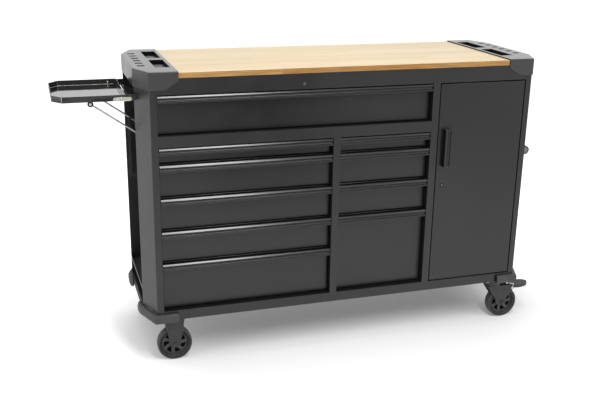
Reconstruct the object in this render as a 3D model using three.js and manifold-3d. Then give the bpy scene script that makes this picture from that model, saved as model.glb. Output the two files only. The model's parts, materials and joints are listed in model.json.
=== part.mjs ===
// Rolling tool cart: steel cabinet with ten drawers and a side cupboard, a wooden worktop
// between two moulded end caps, a fold-down side tray, a push bar and four casters.
// Millimetres, +Z up. The front face looks along -Y, the side tray is at -X.
// The origin is on the floor under the middle of the whole cart.

import * as THREE from 'three';
import { mergeVertices } from 'three/addons/utils/BufferGeometryUtils.js';
import Module from 'manifold-3d';

const wasm = await Module();
wasm.setup();

// Shared clearances and sheet gauges
const seat = 0.3;
const overrun = 5;
const frameSheet = 1.5;
const wallSheet = 1.2;
const baseSheet = 2;

// Cabinet body: the front is flat between the corner posts, which flare out to the sides
const frontWidth = 1400;
const bodyDepth = 505;
const flareWidth = 38;
const flareDepth = 96;

// Heights, stacked from the floor
const baseBottom = 172;
const baseHeight = 33.5;
const bottomRail = 2;
const openingHeight = 764;
const topRail = 53;

// Front face, from left to right
const leftStile = 23;
const columnStile = 26;
const doorStile = 27;
const rightStile = 22;
const columnShares = [0.46928, 0.26575];
const topOpening = 137;
const middleRail = 39;
const rimDepth = 28;

// Drawers: the columns are divided in equal units
const columnUnits = 10;
const leftUnits = [1, 2, 2, 2, 3];
const rightUnits = [1, 2, 2, 5];
const frontSet = 25;
const frontSideGap = 3.5;
const frontGap = 3;
const frontFold = 12;
const drawerRearSpace = 39.4;
const drawerSideSpace = 12;
const drawerTopSpace = 14;
const drawerFloorSpace = 6;
const runnerHeight = 30;
const runnerDepth = 10;
const runnerSheet = 1.5;
const runnerRise = 10;
const runnerStart = 42;
const runnerRearSpace = 33;

// Handle strip: one extruded section serves the drawers and the door
const gripHeight = 27;
const gripDepth = frontSet - seat;
const gripSideGap = 1.5;
const gripLip = 8.5;
const gripGroove = 12;
const gripGrooveDepth = 4.5;
const gripWall = 2;

// Door
const doorGap = 4;
const doorThick = 18;
const doorPinRadius = 2;
const doorPinInset = 3.8;
const doorPinSet = 4;
const doorPinLength = 6;
const doorHandleLength = 140;
const doorHandleDrop = 169;
const doorHandleInset = 18;
const shelfShare = 0.44895;
const shelfThick = 18;
const shelfLedge = 12;

// Locks
const lockRadius = 5;
const lockFlange = 7;
const lockProud = 1.5;
const drawerLockShare = 0.50865;
const drawerLockRise = 19;
const doorLockInset = 30;
const doorLockShare = 0.5;
const camWidth = 10;
const camThick = 2;
const drawerCamLength = 13;
const doorCamLength = 34;
const latchRoom = 8;
const lockBarrel = 14;

// Worktop and end caps
const woodThick = 19.5;
const capInset = 96;
const capRise = 3.5;
const capDrop = 37;
const capWall = 2.5;
const capBevel = 3;
const capNotchWidth = 45;
const capNotchHeight = 28;
const trayRecessDepth = 17;
const trayRecessWidth = 49;
const trayRecessInset = 12.5;
const trayRecessFront = 86;
const trayRecessRear = 59;
const trayRecessBridge = 41;
const trayRecessShares = [0.508, 0.492];
const slotLength = 24;
const slotWidth = 10;
const slotCount = 6;
const slotFirst = 134;
const slotLast = 104;
const slotInset = 90;

// Casters
const wheelRadius = 62.5;
const wheelWidth = 32;
const wheelFacets = 28;
const tyreDepth = 12;
const webThick = 10;
const discThick = 2;
const hubRadius = 15;
const spokeCount = 7;
const axleRadius = 5;
const casterInset = 50;
const rigidInset = 63;
const swivelInset = 55;
const swivelTrail = 42;
const cheekThick = 3;
const cheekGap = 2;
const rigidForkWidth = 64;
const swivelForkWidth = 58;
const rigidFoot = [21, 21];
const swivelFoot = [33, 22];
const footDrop = 7;
const footCorner = 9;
const footRise = 16;
const forkFlare = 12;
const crownGap = 9;
const crownThick = 4;
const headRadius = 30;
const topPlateLength = 105;
const topPlateWidth = 86;
const topPlateThick = 4;
const kingpinRadius = 8;
const pedalPivotOut = 36;
const pedalPivotRise = 60;
const pedalReach = 76;
const pedalWidth = 44;
const pedalThick = 12;
const pedalHub = 6;
const pedalPin = 2.5;
const pedalLift = 9;

// Base and bumpers
const channelWidth = 126;
const bumperBottom = 166;
const bumperTop = 199.5;
const bumperBevel = 7;
const bumperThick = 15;
const bumperWing = 74;
const bumperSide = 30;
const lobeWidth = 13.5;
const lobeLength = 28;
const lobeHeight = 24;
const lobeBottom = 153.5;
const lobeOut = 3;

// Side bays and side tray
const sillRise = 54;
const sillFold = 12;
const trayLength = 236;
const trayLap = 12;
const trayRearGap = 18;
const trayRim = 20;
const traySheet = 1.5;
const trayCorner = 31;
const trayCornerDepth = 40;
const trayDrop = 62;
const hingeOut = 14;
const hingeDrop = 14;
const trayGap = 13;
const hingeRod = 3;
const armLength = 49;
const armHeight = 13;
const armThick = 3;
const earThick = 3;
const earInset = 23.5;
const strapHeight = 44;
const stayRadius = 2.5;
const stayUpperOut = 127;
const stayUpperDrop = 16;
const stayLowerOut = 31;
const stayLowerDrop = 138;
const stayInset = 19.5;
const stayPin = 2;
const lugRadius = 6;
const guideInset = 29.5;
const guideEdge = 8;
const guideDrift = 14.5;
const guideFall = 198;

// Push bar on the other side
const barRadius = 15;
const barCapRadius = 16.5;
const barCapThick = 5;
const barDrop = 356;
const barOut = 36;
const barInset = 18.5;
const bracketThick = 8;
const bracketHeight = 54;
const bracketFoot = 5;
const bracketRing = 3.5;
const bracketInset = 22;

// Derived planes
const half = frontWidth / 2;
const sideX = half + flareWidth;
const frameBottom = baseBottom + baseHeight;
const openingBottom = frameBottom + bottomRail;
const openingTop = openingBottom + openingHeight;
const frameTop = openingTop + topRail;
const wallBottom = frameBottom + seat;
const wallTop = frameTop - wallSheet - seat;
const freeWidth = frontWidth - leftStile - columnStile - doorStile - rightStile;
const leftEdge = -half + leftStile;
const columnEdgeA = leftEdge + freeWidth * columnShares[0];
const columnEdgeB = columnEdgeA + columnStile;
const rightEdge = columnEdgeB + freeWidth * columnShares[1];
const doorEdgeA = rightEdge + doorStile;
const doorEdgeB = half - rightStile;
const topDrawerBottom = openingTop - topOpening;
const columnTop = topDrawerBottom - middleRail;
const unit = (columnTop - openingBottom) / columnUnits;
const wallFront = rimDepth + seat;
const wallRear = bodyDepth - frameSheet - seat;
const wheelZ = wheelRadius * Math.cos(Math.PI / wheelFacets);
const woodHalfLength = half - capInset;
const rigidX = rigidInset - half;
const swivelX = half - swivelInset;
const runnerLength = bodyDepth - runnerStart - runnerRearSpace;
const shelfLevel = openingBottom + openingHeight * shelfShare;
const sillLevel = frameBottom + sillRise;
const drawerLockX = leftEdge + (rightEdge - leftEdge) * drawerLockShare;
const drawerLockZ = openingTop + drawerLockRise;
const doorLockX = doorEdgeA + doorLockInset;
const doorLockZ = openingBottom + openingHeight * doorLockShare;
const doorHandleTop = openingTop - doorHandleDrop;
const trayTop = frameTop - trayDrop;
const barLevel = frameTop - barDrop;

// Finishes
function finish(color, roughness, metalness) {
  return () => new THREE.MeshStandardMaterial({ color, roughness, metalness });
}
const powderCoat = finish('#3c3c3b', 0.5, 0.3);
const postCoat = finish('#5a5a5b', 0.5, 0.3);
const innerCoat = finish('#2b2b2e', 0.6, 0.3);
const gripCoat = finish('#4a4a4a', 0.3, 0.6);
const moulding = finish('#6b6b6c', 0.55, 0);
const rubberish = finish('#4c4c4d', 0.7, 0);
const timber = finish('#e6c38f', 0.5, 0);
const zinc = finish('#b9b9a8', 0.35, 0.8);
const steel = finish('#c4c4c2', 0.25, 0.9);
const casterCoat = finish('#48484a', 0.5, 0.4);
const tyreBlack = finish('#3c3c3d', 0.8, 0);

// Solid tools
function toSolid(geometry) {
  const bare = geometry.clone();
  bare.deleteAttribute('normal');
  bare.deleteAttribute('uv');
  const merged = mergeVertices(bare, seat / 1000);
  return new wasm.Manifold(new wasm.Mesh({
    numProp: 3,
    vertProperties: new Float32Array(merged.attributes.position.array),
    triVerts: new Uint32Array(merged.index.array),
  }));
}

function toGeometry(solid) {
  const mesh = solid.getMesh();
  const geometry = new THREE.BufferGeometry();
  geometry.setAttribute('position', new THREE.BufferAttribute(mesh.vertProperties, 3));
  geometry.setIndex(new THREE.BufferAttribute(mesh.triVerts, 1));
  return geometry;
}

function join(...pieces) {
  return pieces.reduce((sum, piece) => sum.add(piece));
}

function cut(body, ...tools) {
  return tools.reduce((rest, tool) => rest.subtract(tool), body);
}

// A box between two corners
function block(x0, x1, y0, y1, z0, z1) {
  const geometry = new THREE.BoxGeometry(x1 - x0, y1 - y0, z1 - z0);
  geometry.translate((x0 + x1) / 2, (y0 + y1) / 2, (z0 + z1) / 2);
  return toSolid(geometry);
}

// An outline extruded along one axis, from one level to another
// plan: [x, y] along Z; face: [x, z] along Y; section: [y, z] along X
function shapeOf(points, holes = []) {
  const shape = new THREE.Shape(points.map(([a, b]) => new THREE.Vector2(a, b)));
  for (const hole of holes) {
    shape.holes.push(new THREE.Path(hole.map(([a, b]) => new THREE.Vector2(a, b))));
  }
  return shape;
}

function plan(points, z0, z1, holes) {
  const options = { depth: z1 - z0, bevelEnabled: false };
  const geometry = new THREE.ExtrudeGeometry(shapeOf(points, holes), options);
  geometry.translate(0, 0, z0);
  return toSolid(geometry);
}

function face(points, y0, y1, holes) {
  const options = { depth: y1 - y0, bevelEnabled: false };
  const geometry = new THREE.ExtrudeGeometry(shapeOf(points, holes), options);
  geometry.rotateX(Math.PI / 2);
  geometry.translate(0, y1, 0);
  return toSolid(geometry);
}

function section(points, x0, x1) {
  const options = { depth: x1 - x0, bevelEnabled: false };
  const geometry = new THREE.ExtrudeGeometry(shapeOf(points), options);
  geometry.applyMatrix4(new THREE.Matrix4().set(0, 0, 1, 0, 1, 0, 0, 0, 0, 1, 0, 0, 0, 0, 0, 1));
  geometry.translate(x0, 0, 0);
  return toSolid(geometry);
}

// A round bar along Y or Z
function barY(radius, x, z, y0, y1, sides = 16) {
  const geometry = new THREE.CylinderGeometry(radius, radius, y1 - y0, sides);
  geometry.translate(x, (y0 + y1) / 2, z);
  return toSolid(geometry);
}

function barZ(radius, x, y, z0, z1, sides = 16) {
  const geometry = new THREE.CylinderGeometry(radius, radius, z1 - z0, sides);
  geometry.rotateX(Math.PI / 2);
  geometry.translate(x, y, (z0 + z1) / 2);
  return toSolid(geometry);
}

// A straight round rod between two points
function rod(radius, from, to, sides = 8) {
  const a = new THREE.Vector3(...from);
  const b = new THREE.Vector3(...to);
  const along = b.clone().sub(a);
  const geometry = new THREE.CylinderGeometry(radius, radius, along.length(), sides);
  const turn = new THREE.Quaternion().setFromUnitVectors(new THREE.Vector3(0, 1, 0), along.normalize());
  geometry.applyQuaternion(turn);
  geometry.translate((a.x + b.x) / 2, (a.y + b.y) / 2, (a.z + b.z) / 2);
  return toSolid(geometry);
}

// Points on an arc, angles in degrees
function arc(cx, cy, radius, from, to, steps) {
  return Array.from({ length: steps + 1 }, (unused, i) => {
    const angle = THREE.MathUtils.degToRad(from + (to - from) * i / steps);
    return [cx + radius * Math.cos(angle), cy + radius * Math.sin(angle)];
  });
}

// A convex outline moved outward by an offset, its sides kept parallel
function grow(points, offset) {
  const count = points.length;
  return points.map((corner, i) => {
    const before = points[(i + count - 1) % count];
    const after = points[(i + 1) % count];
    const a = new THREE.Vector2(corner[0] - before[0], corner[1] - before[1]).normalize();
    const b = new THREE.Vector2(after[0] - corner[0], after[1] - corner[1]).normalize();
    const bend = new THREE.Vector2(a.y + b.y, -a.x - b.x).normalize();
    const reach = offset / (bend.x * a.y - bend.y * a.x);
    return [corner[0] + bend.x * reach, corner[1] + bend.y * reach];
  });
}

function mirrorX(solid) {
  return solid.mirror([1, 0, 0]);
}

const cart = new THREE.Group();

function add(name, solid, material) {
  const mesh = new THREE.Mesh(toGeometry(solid), material());
  mesh.name = name;
  cart.add(mesh);
  return mesh;
}

// Outer plan of the cabinet: flat front and back, flared corner posts
const bodyPlan = [
  [-half, 0],
  [half, 0],
  [sideX, flareDepth],
  [sideX, bodyDepth - flareDepth],
  [half, bodyDepth],
  [-half, bodyDepth],
  [-sideX, bodyDepth - flareDepth],
  [-sideX, flareDepth],
];

// Base: an open pan with a cross channel over each pair of casters
const swivelHead = { x: swivelX, ys: [casterInset, bodyDepth - casterInset] };

function basePan() {
  const inner = grow(bodyPlan, -baseSheet);
  const skirt = cut(
    plan(bodyPlan, baseBottom, frameBottom),
    plan(inner, baseBottom - overrun, frameBottom - baseSheet),
  );
  let pan = skirt;
  for (const x of [rigidX, swivelX]) {
    const x0 = x - channelWidth / 2;
    const x1 = x + channelWidth / 2;
    const channel = cut(
      block(x0, x1, overrun, bodyDepth - overrun, baseBottom, frameBottom - baseSheet / 2),
      block(x0 + baseSheet, x1 - baseSheet, 0, bodyDepth, baseBottom + topPlateThick, frameBottom - baseSheet),
    );
    pan = pan.add(channel.intersect(plan(bodyPlan, baseBottom, frameBottom)));
  }
  const plateTop = baseBottom + baseSheet;
  for (const y of swivelHead.ys) {
    const low = baseBottom - topPlateThick;
    const plate = block(
      swivelX - topPlateLength / 2, swivelX + topPlateLength / 2,
      y - topPlateWidth / 2, y + topPlateWidth / 2, low, plateTop,
    );
    const race = barZ(headRadius, swivelX, y, crownTop + seat, low + overrun / 2, 24);
    pan = join(pan, plate, race);
    const kingpinHole = barZ(kingpinRadius + seat, swivelX, y, crownTop - overrun, frameBottom - baseSheet * 2, 16);
    pan = pan.subtract(kingpinHole);
  }
  return pan;
}

// Caster levels
const crownBottom = wheelZ + wheelRadius + crownGap;
const crownTop = crownBottom + crownThick;
add('base_frame', basePan(), powderCoat);

// Front frame: one bent sheet with the front posts, pierced for the drawers and the door
const openings = [
  [leftEdge, rightEdge, topDrawerBottom, openingTop],
  [leftEdge, columnEdgeA, openingBottom, columnTop],
  [columnEdgeB, rightEdge, openingBottom, columnTop],
  [doorEdgeA, doorEdgeB, openingBottom, openingTop],
];

function bentSheet(frontSide) {
  const inner = grow(bodyPlan, -frameSheet);
  const shell = cut(
    plan(bodyPlan, frameBottom + seat, frameTop),
    plan(inner, frameBottom - overrun, frameTop + overrun),
  );
  const y0 = frontSide ? -overrun : bodyDepth - flareDepth;
  const y1 = frontSide ? flareDepth : bodyDepth + overrun;
  const part = shell.intersect(block(-sideX - overrun, sideX + overrun, y0, y1, 0, frameTop + overrun));
  const lip = frontSide ? [flareDepth - frameSheet, flareDepth] : [y0, y0 + frameSheet];
  const wallOuter = [leftEdge - wallSheet, doorEdgeB + wallSheet];
  const left = block(-sideX, wallOuter[0] - seat, ...lip, frameBottom + seat, frameTop);
  const right = block(wallOuter[1] + seat, sideX, ...lip, frameBottom + seat, frameTop);
  const returns = join(left, right).intersect(plan(bodyPlan, frameBottom, frameTop + overrun));
  return join(part, returns);
}

function frontFrame() {
  let frame = bentSheet(true);
  for (const [x0, x1, z0, z1] of openings) {
    const low = Math.max(z0 - frameSheet, frameBottom + seat);
    frame = frame.add(block(x0 - frameSheet, x1 + frameSheet, 0, rimDepth, low, z1 + frameSheet));
  }
  for (const [x0, x1, z0, z1] of openings) {
    frame = frame.subtract(block(x0, x1, -overrun, rimDepth + overrun, z0, z1));
  }
  const pinX = doorEdgeB - doorGap - doorPinInset;
  const pinHole = barZ(doorPinRadius + seat, pinX, doorPinSet, frameBottom, openingTop + overrun, 12);
  const lockHole = barY(lockRadius + seat, drawerLockX, drawerLockZ, -overrun, overrun, 16);
  return cut(frame, pinHole, lockHole);
}
add('front_frame', frontFrame(), postCoat);
add('back_panel', bentSheet(false), powderCoat);

// Runner channel on a wall; side is +1 where the channel opens towards +X
function runner(x, z, side) {
  const y0 = runnerStart;
  const y1 = runnerStart + runnerLength;
  const tip = x + side * runnerDepth;
  const web = x + side * runnerSheet;
  const low = Math.min(x - side * runnerSheet / 2, tip);
  const high = Math.max(x - side * runnerSheet / 2, tip);
  const bodyBlock = block(low, high, y0, y1, z, z + runnerHeight);
  const a = Math.min(web, tip + side * overrun);
  const b = Math.max(web, tip + side * overrun);
  const channel = block(a, b, y0 - overrun, y1 + overrun, z + runnerSheet, z + runnerHeight - runnerSheet);
  return bodyBlock.subtract(channel);
}

// Drawer places: each has its opening's two edges and its lower and upper level
function stack(prefix, units, x0, x1) {
  let top = columnTop;
  return units.map((count, i) => {
    const bottom = top - count * unit;
    const place = { name: `${prefix}${i + 1}`, x0, x1, z0: bottom, z1: top };
    top = bottom;
    return place;
  });
}
const topPlace = { name: 'drawer_top', x0: leftEdge, x1: rightEdge, z0: topDrawerBottom, z1: openingTop };
const leftPlaces = stack('drawer_left_', leftUnits, leftEdge, columnEdgeA);
const rightPlaces = stack('drawer_right_', rightUnits, columnEdgeB, rightEdge);

function runners(x, places, side) {
  return places.map((place) => runner(x, place.z0 + runnerRise, side));
}

// Cabinet walls and dividers carry the runners
function sideWall(outer, side) {
  const inner = outer + side * wallSheet;
  const sheet = block(Math.min(outer, inner), Math.max(outer, inner), wallFront, wallRear, wallBottom, wallTop);
  const y0 = flareDepth + seat;
  const y1 = bodyDepth - flareDepth - seat;
  const edge = -side * sideX;
  const a = Math.min(edge, outer + side * wallSheet / 2);
  const b = Math.max(edge, outer + side * wallSheet / 2);
  const sill = block(a, b, y0, y1, sillLevel, sillLevel + wallSheet);
  const lipEdge = edge + side * wallSheet;
  const lip = block(Math.min(edge, lipEdge), Math.max(edge, lipEdge), y0, y1, sillLevel, sillLevel + sillFold);
  return join(sheet, sill, lip);
}

function boxDivider(x0, x1, front, top) {
  return cut(
    block(x0, x1, front, wallRear, wallBottom, top),
    block(
      x0 + wallSheet, x1 - wallSheet, front + wallSheet, wallRear - wallSheet,
      wallBottom - overrun, top + overrun,
    ),
  );
}

const leftWallX = leftEdge - wallSheet;
const rightWallX = doorEdgeB + wallSheet;
add('left_wall', join(sideWall(leftWallX, 1), ...runners(leftEdge, [topPlace, ...leftPlaces], 1)), innerCoat);
add('right_wall', join(
  sideWall(rightWallX, -1),
  block(
    doorEdgeB - shelfLedge, doorEdgeB + wallSheet / 2, wallFront + shelfLedge, wallRear - shelfLedge,
    shelfLevel - wallSheet, shelfLevel,
  ),
), innerCoat);
add('column_divider', join(
  boxDivider(columnEdgeA, columnEdgeB, wallFront, topDrawerBottom - frameSheet),
  ...runners(columnEdgeA, leftPlaces, -1),
  ...runners(columnEdgeB, rightPlaces, 1),
), innerCoat);
add('door_divider', join(
  boxDivider(rightEdge, doorEdgeA, wallFront + latchRoom, wallTop),
  ...runners(rightEdge, [topPlace, ...rightPlaces], -1),
  block(
    doorEdgeA - wallSheet / 2, doorEdgeA + shelfLedge, wallFront + shelfLedge, wallRear - shelfLedge,
    shelfLevel - wallSheet, shelfLevel,
  ),
), innerCoat);
add('roof_panel', block(
  leftEdge - wallSheet, doorEdgeB + wallSheet, frameSheet + seat, bodyDepth - frameSheet - seat,
  frameTop - wallSheet, frameTop,
), innerCoat);

// Cupboard shelf: a pan with folded edges
const shelfX = [doorEdgeA + frontSideGap, doorEdgeB - frontSideGap];
add('door_shelf', cut(
  block(...shelfX, wallFront + doorThick, wallRear - shelfLedge, shelfLevel + seat, shelfLevel + seat + shelfThick),
  block(
    shelfX[0] + wallSheet, shelfX[1] - wallSheet, wallFront + doorThick + wallSheet,
    wallRear - shelfLedge - wallSheet, shelfLevel + seat - overrun, shelfLevel + seat + shelfThick - wallSheet,
  ),
), innerCoat);

// Worktop
const woodBottom = frameTop + seat;
add('worktop', block(
  -woodHalfLength, woodHalfLength, 0, bodyDepth, woodBottom, woodBottom + woodThick,
), timber);

// End cap: a moulded lid over the corner posts with two tray recesses and a row of tool slots
function endCap() {
  const inner = woodHalfLength + seat;
  const clearance = capWall + seat;
  const outline = grow(bodyPlan, clearance);
  const low = frameTop - capDrop;
  const high = woodBottom + woodThick + capRise;
  const bevel = {
    depth: high - low - capBevel,
    bevelEnabled: true,
    bevelThickness: capBevel,
    bevelSize: capBevel,
    bevelOffset: -capBevel,
    bevelSegments: 2,
  };
  const blank = new THREE.ExtrudeGeometry(shapeOf(outline), bevel);
  blank.translate(0, 0, low);
  const reach = sideX + flareWidth;
  const deep = bodyDepth + flareDepth;
  let cap = toSolid(blank).intersect(block(inner, reach, -flareDepth, deep, low, high + overrun));
  cap = cap.subtract(plan(grow(bodyPlan, seat), low - overrun, woodBottom));
  const notch = [
    [inner - overrun, low - overrun],
    [inner + capNotchWidth, low - overrun],
    [inner + capNotchWidth, low],
    [inner, low + capNotchHeight],
    [inner - overrun, low + capNotchHeight],
  ];
  cap = cap.subtract(face(notch, -flareDepth, deep));
  let y = trayRecessFront;
  const x0 = inner + trayRecessInset;
  const recessRun = bodyDepth - trayRecessFront - trayRecessBridge - trayRecessRear;
  for (const share of trayRecessShares) {
    const length = recessRun * share;
    cap = cap.subtract(block(x0, x0 + trayRecessWidth, y, y + length, high - trayRecessDepth, high + overrun));
    y += length + trayRecessBridge;
  }
  const slotPitch = (bodyDepth - slotFirst - slotLast) / (slotCount - 1);
  for (let i = 0; i < slotCount; i += 1) {
    const middle = slotFirst + i * slotPitch;
    const s0 = inner + slotInset;
    cap = cap.subtract(block(s0, s0 + slotLength, middle - slotWidth / 2, middle + slotWidth / 2, low, high + overrun));
  }
  return cap;
}
add('cap_right', endCap(), moulding);
add('cap_left', mirrorX(endCap()), moulding);

// Corner bumper: a band round the base corner with a rounded lobe at its outer end
function bumper() {
  const blank = new THREE.ExtrudeGeometry(shapeOf(grow(bodyPlan, bumperThick)), {
    depth: bumperTop - bumperBottom - bumperBevel * 2,
    bevelEnabled: true,
    bevelThickness: bumperBevel,
    bevelSize: bumperBevel,
    bevelOffset: -bumperBevel,
    bevelSegments: 2,
  });
  blank.translate(0, 0, bumperBottom + bumperBevel);
  const band = toSolid(blank).subtract(plan(grow(bodyPlan, seat), bumperBottom - overrun, bumperTop + overrun));
  const x0 = half - bumperWing;
  const y1 = flareDepth + bumperSide;
  const corner = band.intersect(block(x0, sideX + flareWidth, -flareDepth, y1, bumperBottom, bumperTop));
  const lobe = new THREE.SphereGeometry(1, 16, 10);
  lobe.scale(lobeWidth, lobeLength, lobeHeight);
  lobe.translate(sideX + lobeOut, y1, lobeBottom + lobeHeight);
  const trimmed = toSolid(lobe).subtract(plan(grow(bodyPlan, seat), lobeBottom - overrun, bumperTop + flareDepth));
  return corner.add(trimmed);
}

function mirrorY(solid) {
  return solid.mirror([0, 1, 0]).translate([0, bodyDepth, 0]);
}
add('bumper_front_right', bumper(), rubberish);
add('bumper_front_left', mirrorX(bumper()), rubberish);
add('bumper_rear_right', mirrorY(bumper()), rubberish);
add('bumper_rear_left', mirrorY(mirrorX(bumper())), rubberish);

// Caster wheel: tyre ring, spoked web and hub, built round its own axle line
function wheel() {
  const rimRadius = wheelRadius - tyreDepth;
  const w = wheelWidth / 2;
  const shoulder = tyreDepth / 3;
  const profile = [
    [rimRadius - shoulder, -w + shoulder],
    [rimRadius + shoulder / 2, -w],
    [wheelRadius - shoulder, -w],
    [wheelRadius, -w + shoulder],
    [wheelRadius, w - shoulder],
    [wheelRadius - shoulder, w],
    [rimRadius + shoulder / 2, w],
    [rimRadius - shoulder, w - shoulder],
  ];
  profile.push(profile[0]);
  const ring = new THREE.LatheGeometry(profile.map(([r, h]) => new THREE.Vector2(r, h)), wheelFacets);
  ring.rotateY(Math.PI / wheelFacets);
  const pitch = 360 / spokeCount;
  const outer = rimRadius - shoulder * 2;
  const inner = hubRadius + shoulder;
  const windows = Array.from({ length: spokeCount }, (unused, i) => {
    const at = i * pitch;
    const windowShares = [0.14, 0.86, 0.62, 0.3];
    const long = arc(0, 0, outer, at + windowShares[0] * pitch, at + windowShares[1] * pitch, 3);
    const short = arc(0, 0, inner, at + windowShares[2] * pitch + pitch / 2, at + windowShares[3] * pitch + pitch / 2, 1);
    return [...long, ...short];
  });
  const web = face(arc(0, 0, rimRadius - shoulder / 2, 0, 360 - 360 / wheelFacets, wheelFacets - 1),
    -webThick / 2, webThick / 2, windows);
  const disc = barY(rimRadius - shoulder / 2, 0, 0, -discThick / 2, discThick / 2, wheelFacets);
  const hub = barY(hubRadius, 0, 0, -w, w, 20);
  const bore = barY(axleRadius + seat, 0, 0, -w - overrun, w + overrun, 16);
  return cut(join(toSolid(ring), web, disc, hub), bore);
}

// Fork: two tapered cheeks, a crown and the axle; rigid forks carry their own top plate
function fork(trail, rigid) {
  const spread = wheelWidth / 2 + cheekGap;
  const topHalf = (rigid ? rigidForkWidth : swivelForkWidth) / 2;
  const [back, ahead] = rigid ? rigidFoot : swivelFoot;
  const cornerZ = wheelZ - footDrop + footCorner;
  const shoulder = trail > 0 ? ahead * 2 : topHalf;
  const cheekShape = [
    [trail - back, wheelZ + footRise],
    ...arc(trail - back + footCorner, cornerZ, footCorner, 180, 270, 3),
    ...arc(trail + ahead - footCorner, cornerZ, footCorner, 270, 360, 3),
    [trail + ahead, wheelZ + footRise],
    [trail + shoulder, crownBottom - footRise],
    [trail + shoulder, crownBottom],
    [topHalf, crownTop],
    [-topHalf, crownTop],
    [-topHalf, crownBottom],
  ];
  const ear = pedalHub + cheekThick;
  const px = trail + pedalPivotOut;
  const pz = wheelZ + pedalPivotRise;
  const pieces = [];
  for (const side of [-1, 1]) {
    const y0 = side > 0 ? spread : -spread - cheekThick;
    pieces.push(face(cheekShape, y0, y0 + cheekThick));
    if (!rigid) {
      pieces.push(barY(ear, px, pz, y0, y0 + cheekThick, 16));
      const arm = [[topHalf / 2, crownBottom - ear], [px, pz - ear], [px, pz + ear], [topHalf / 2, crownTop]];
      pieces.push(face(arm, y0, y0 + cheekThick));
    }
  }
  pieces.push(block(-topHalf, topHalf, -spread - cheekThick, spread + cheekThick, crownBottom, crownTop));
  pieces.push(barY(axleRadius, trail, wheelZ, -spread - cheekThick * 2, spread + cheekThick * 2, 16));
  if (rigid) {
    const top = baseBottom - seat;
    pieces.push(block(-topPlateLength / 2, topPlateLength / 2, -topPlateWidth / 2, topPlateWidth / 2,
      top - topPlateThick, top));
    const riser = [
      [-topHalf, crownTop - cheekThick],
      [topHalf, crownTop - cheekThick],
      [topHalf, crownTop],
      [topHalf + forkFlare / 4, (crownTop + top) / 2],
      [topHalf + forkFlare, top - topPlateThick / 2],
      [-topHalf - forkFlare, top - topPlateThick / 2],
      [-topHalf - forkFlare / 4, (crownTop + top) / 2],
      [-topHalf, crownTop],
    ];
    pieces.push(face(riser, -spread - cheekThick, -spread));
    pieces.push(face(riser, spread, spread + cheekThick));
  } else {
    pieces.push(barZ(kingpinRadius, 0, 0, crownTop - overrun / 2, baseBottom + topPlateThick, 16));
    pieces.push(barY(pedalPin, px, pz, -spread - cheekThick / 2, spread + cheekThick / 2, 12));
  }
  return join(...pieces);
}

// Brake pedal: a tread on a hub that turns on the fork's pin
function pedal(trail) {
  const px = trail + pedalPivotOut;
  const pz = wheelZ + pedalPivotRise;
  const inside = wheelWidth / 2 + cheekGap - seat;
  const neck = pedalHub * 2 + cheekThick;
  const outline = [
    [px, pz - pedalHub],
    [px + neck, pz - pedalHub / 2],
    [px + neck, pz + pedalHub],
    [px, pz + pedalHub],
  ];
  const tip = px + pedalReach;
  const low = pz - pedalHub / 2;
  const tread = [
    [px + neck - cheekThick, low],
    [tip - pedalThick, low + pedalLift / 2],
    [tip, low + pedalLift],
    [tip, low + pedalLift + pedalThick / 2],
    [tip - pedalThick, low + pedalThick + pedalLift],
    [px + neck - cheekThick, low + pedalThick],
  ];
  const corner = pedalWidth / 4;
  const blade = face(tread, -pedalWidth / 2, pedalWidth / 2).intersect(plan([
    [px + neck - overrun, -pedalWidth / 2],
    [tip - corner, -pedalWidth / 2],
    [tip, -pedalWidth / 2 + corner],
    [tip, pedalWidth / 2 - corner],
    [tip - corner, pedalWidth / 2],
    [px + neck - overrun, pedalWidth / 2],
  ], 0, frameBottom));
  const body = join(face(outline, -inside, inside), barY(pedalHub, px, pz, -inside, inside, 16), blade);
  return body.subtract(barY(pedalPin + seat, px, pz, -inside - overrun, inside + overrun, 12));
}

for (const [place, y] of [['front', casterInset], ['rear', bodyDepth - casterInset]]) {
  const pairs = [
    ['caster_fork', 'left', fork(0, true), rigidX, 0, 0, casterCoat],
    ['caster_wheel', 'left', wheel(), rigidX, 0, wheelZ, tyreBlack],
    ['caster_fork', 'right', fork(swivelTrail, false), swivelX, 0, 0, casterCoat],
    ['caster_wheel', 'right', wheel(), swivelX, swivelTrail, wheelZ, tyreBlack],
    ['brake_pedal', 'right', pedal(swivelTrail), swivelX, 0, 0, casterCoat],
  ];
  for (const [kind, side, solid, x, offset, z, material] of pairs) {
    add(`${kind}_${place}_${side}`, solid, material).position.set(x + offset, y, z);
  }
}

// Handle section in [depth, height]: a rounded top lip over a finger groove and a lower lip
const grooveRadius = (gripGroove * gripGroove / 4 + gripGrooveDepth * gripGrooveDepth) / (2 * gripGrooveDepth);
const grooveAngle = THREE.MathUtils.radToDeg(Math.asin(gripGroove / 2 / grooveRadius));
const gripProfile = [
  [gripDepth, 0],
  ...arc(gripLip * 2 / 3, -gripLip * 2 / 3, gripLip * 2 / 3, 90, 180, 4),
  [0, -gripLip + gripWall / 2],
  [gripWall / 2, -gripLip],
  ...arc(
    gripWall + gripGrooveDepth - grooveRadius, -gripLip - gripGroove / 2, grooveRadius,
    grooveAngle, -grooveAngle, 6,
  ),
  [0, -gripLip - gripGroove - gripWall / 2],
  [0, -gripHeight + gripWall],
  [gripWall, -gripHeight],
  [gripDepth, -gripHeight],
];

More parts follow.
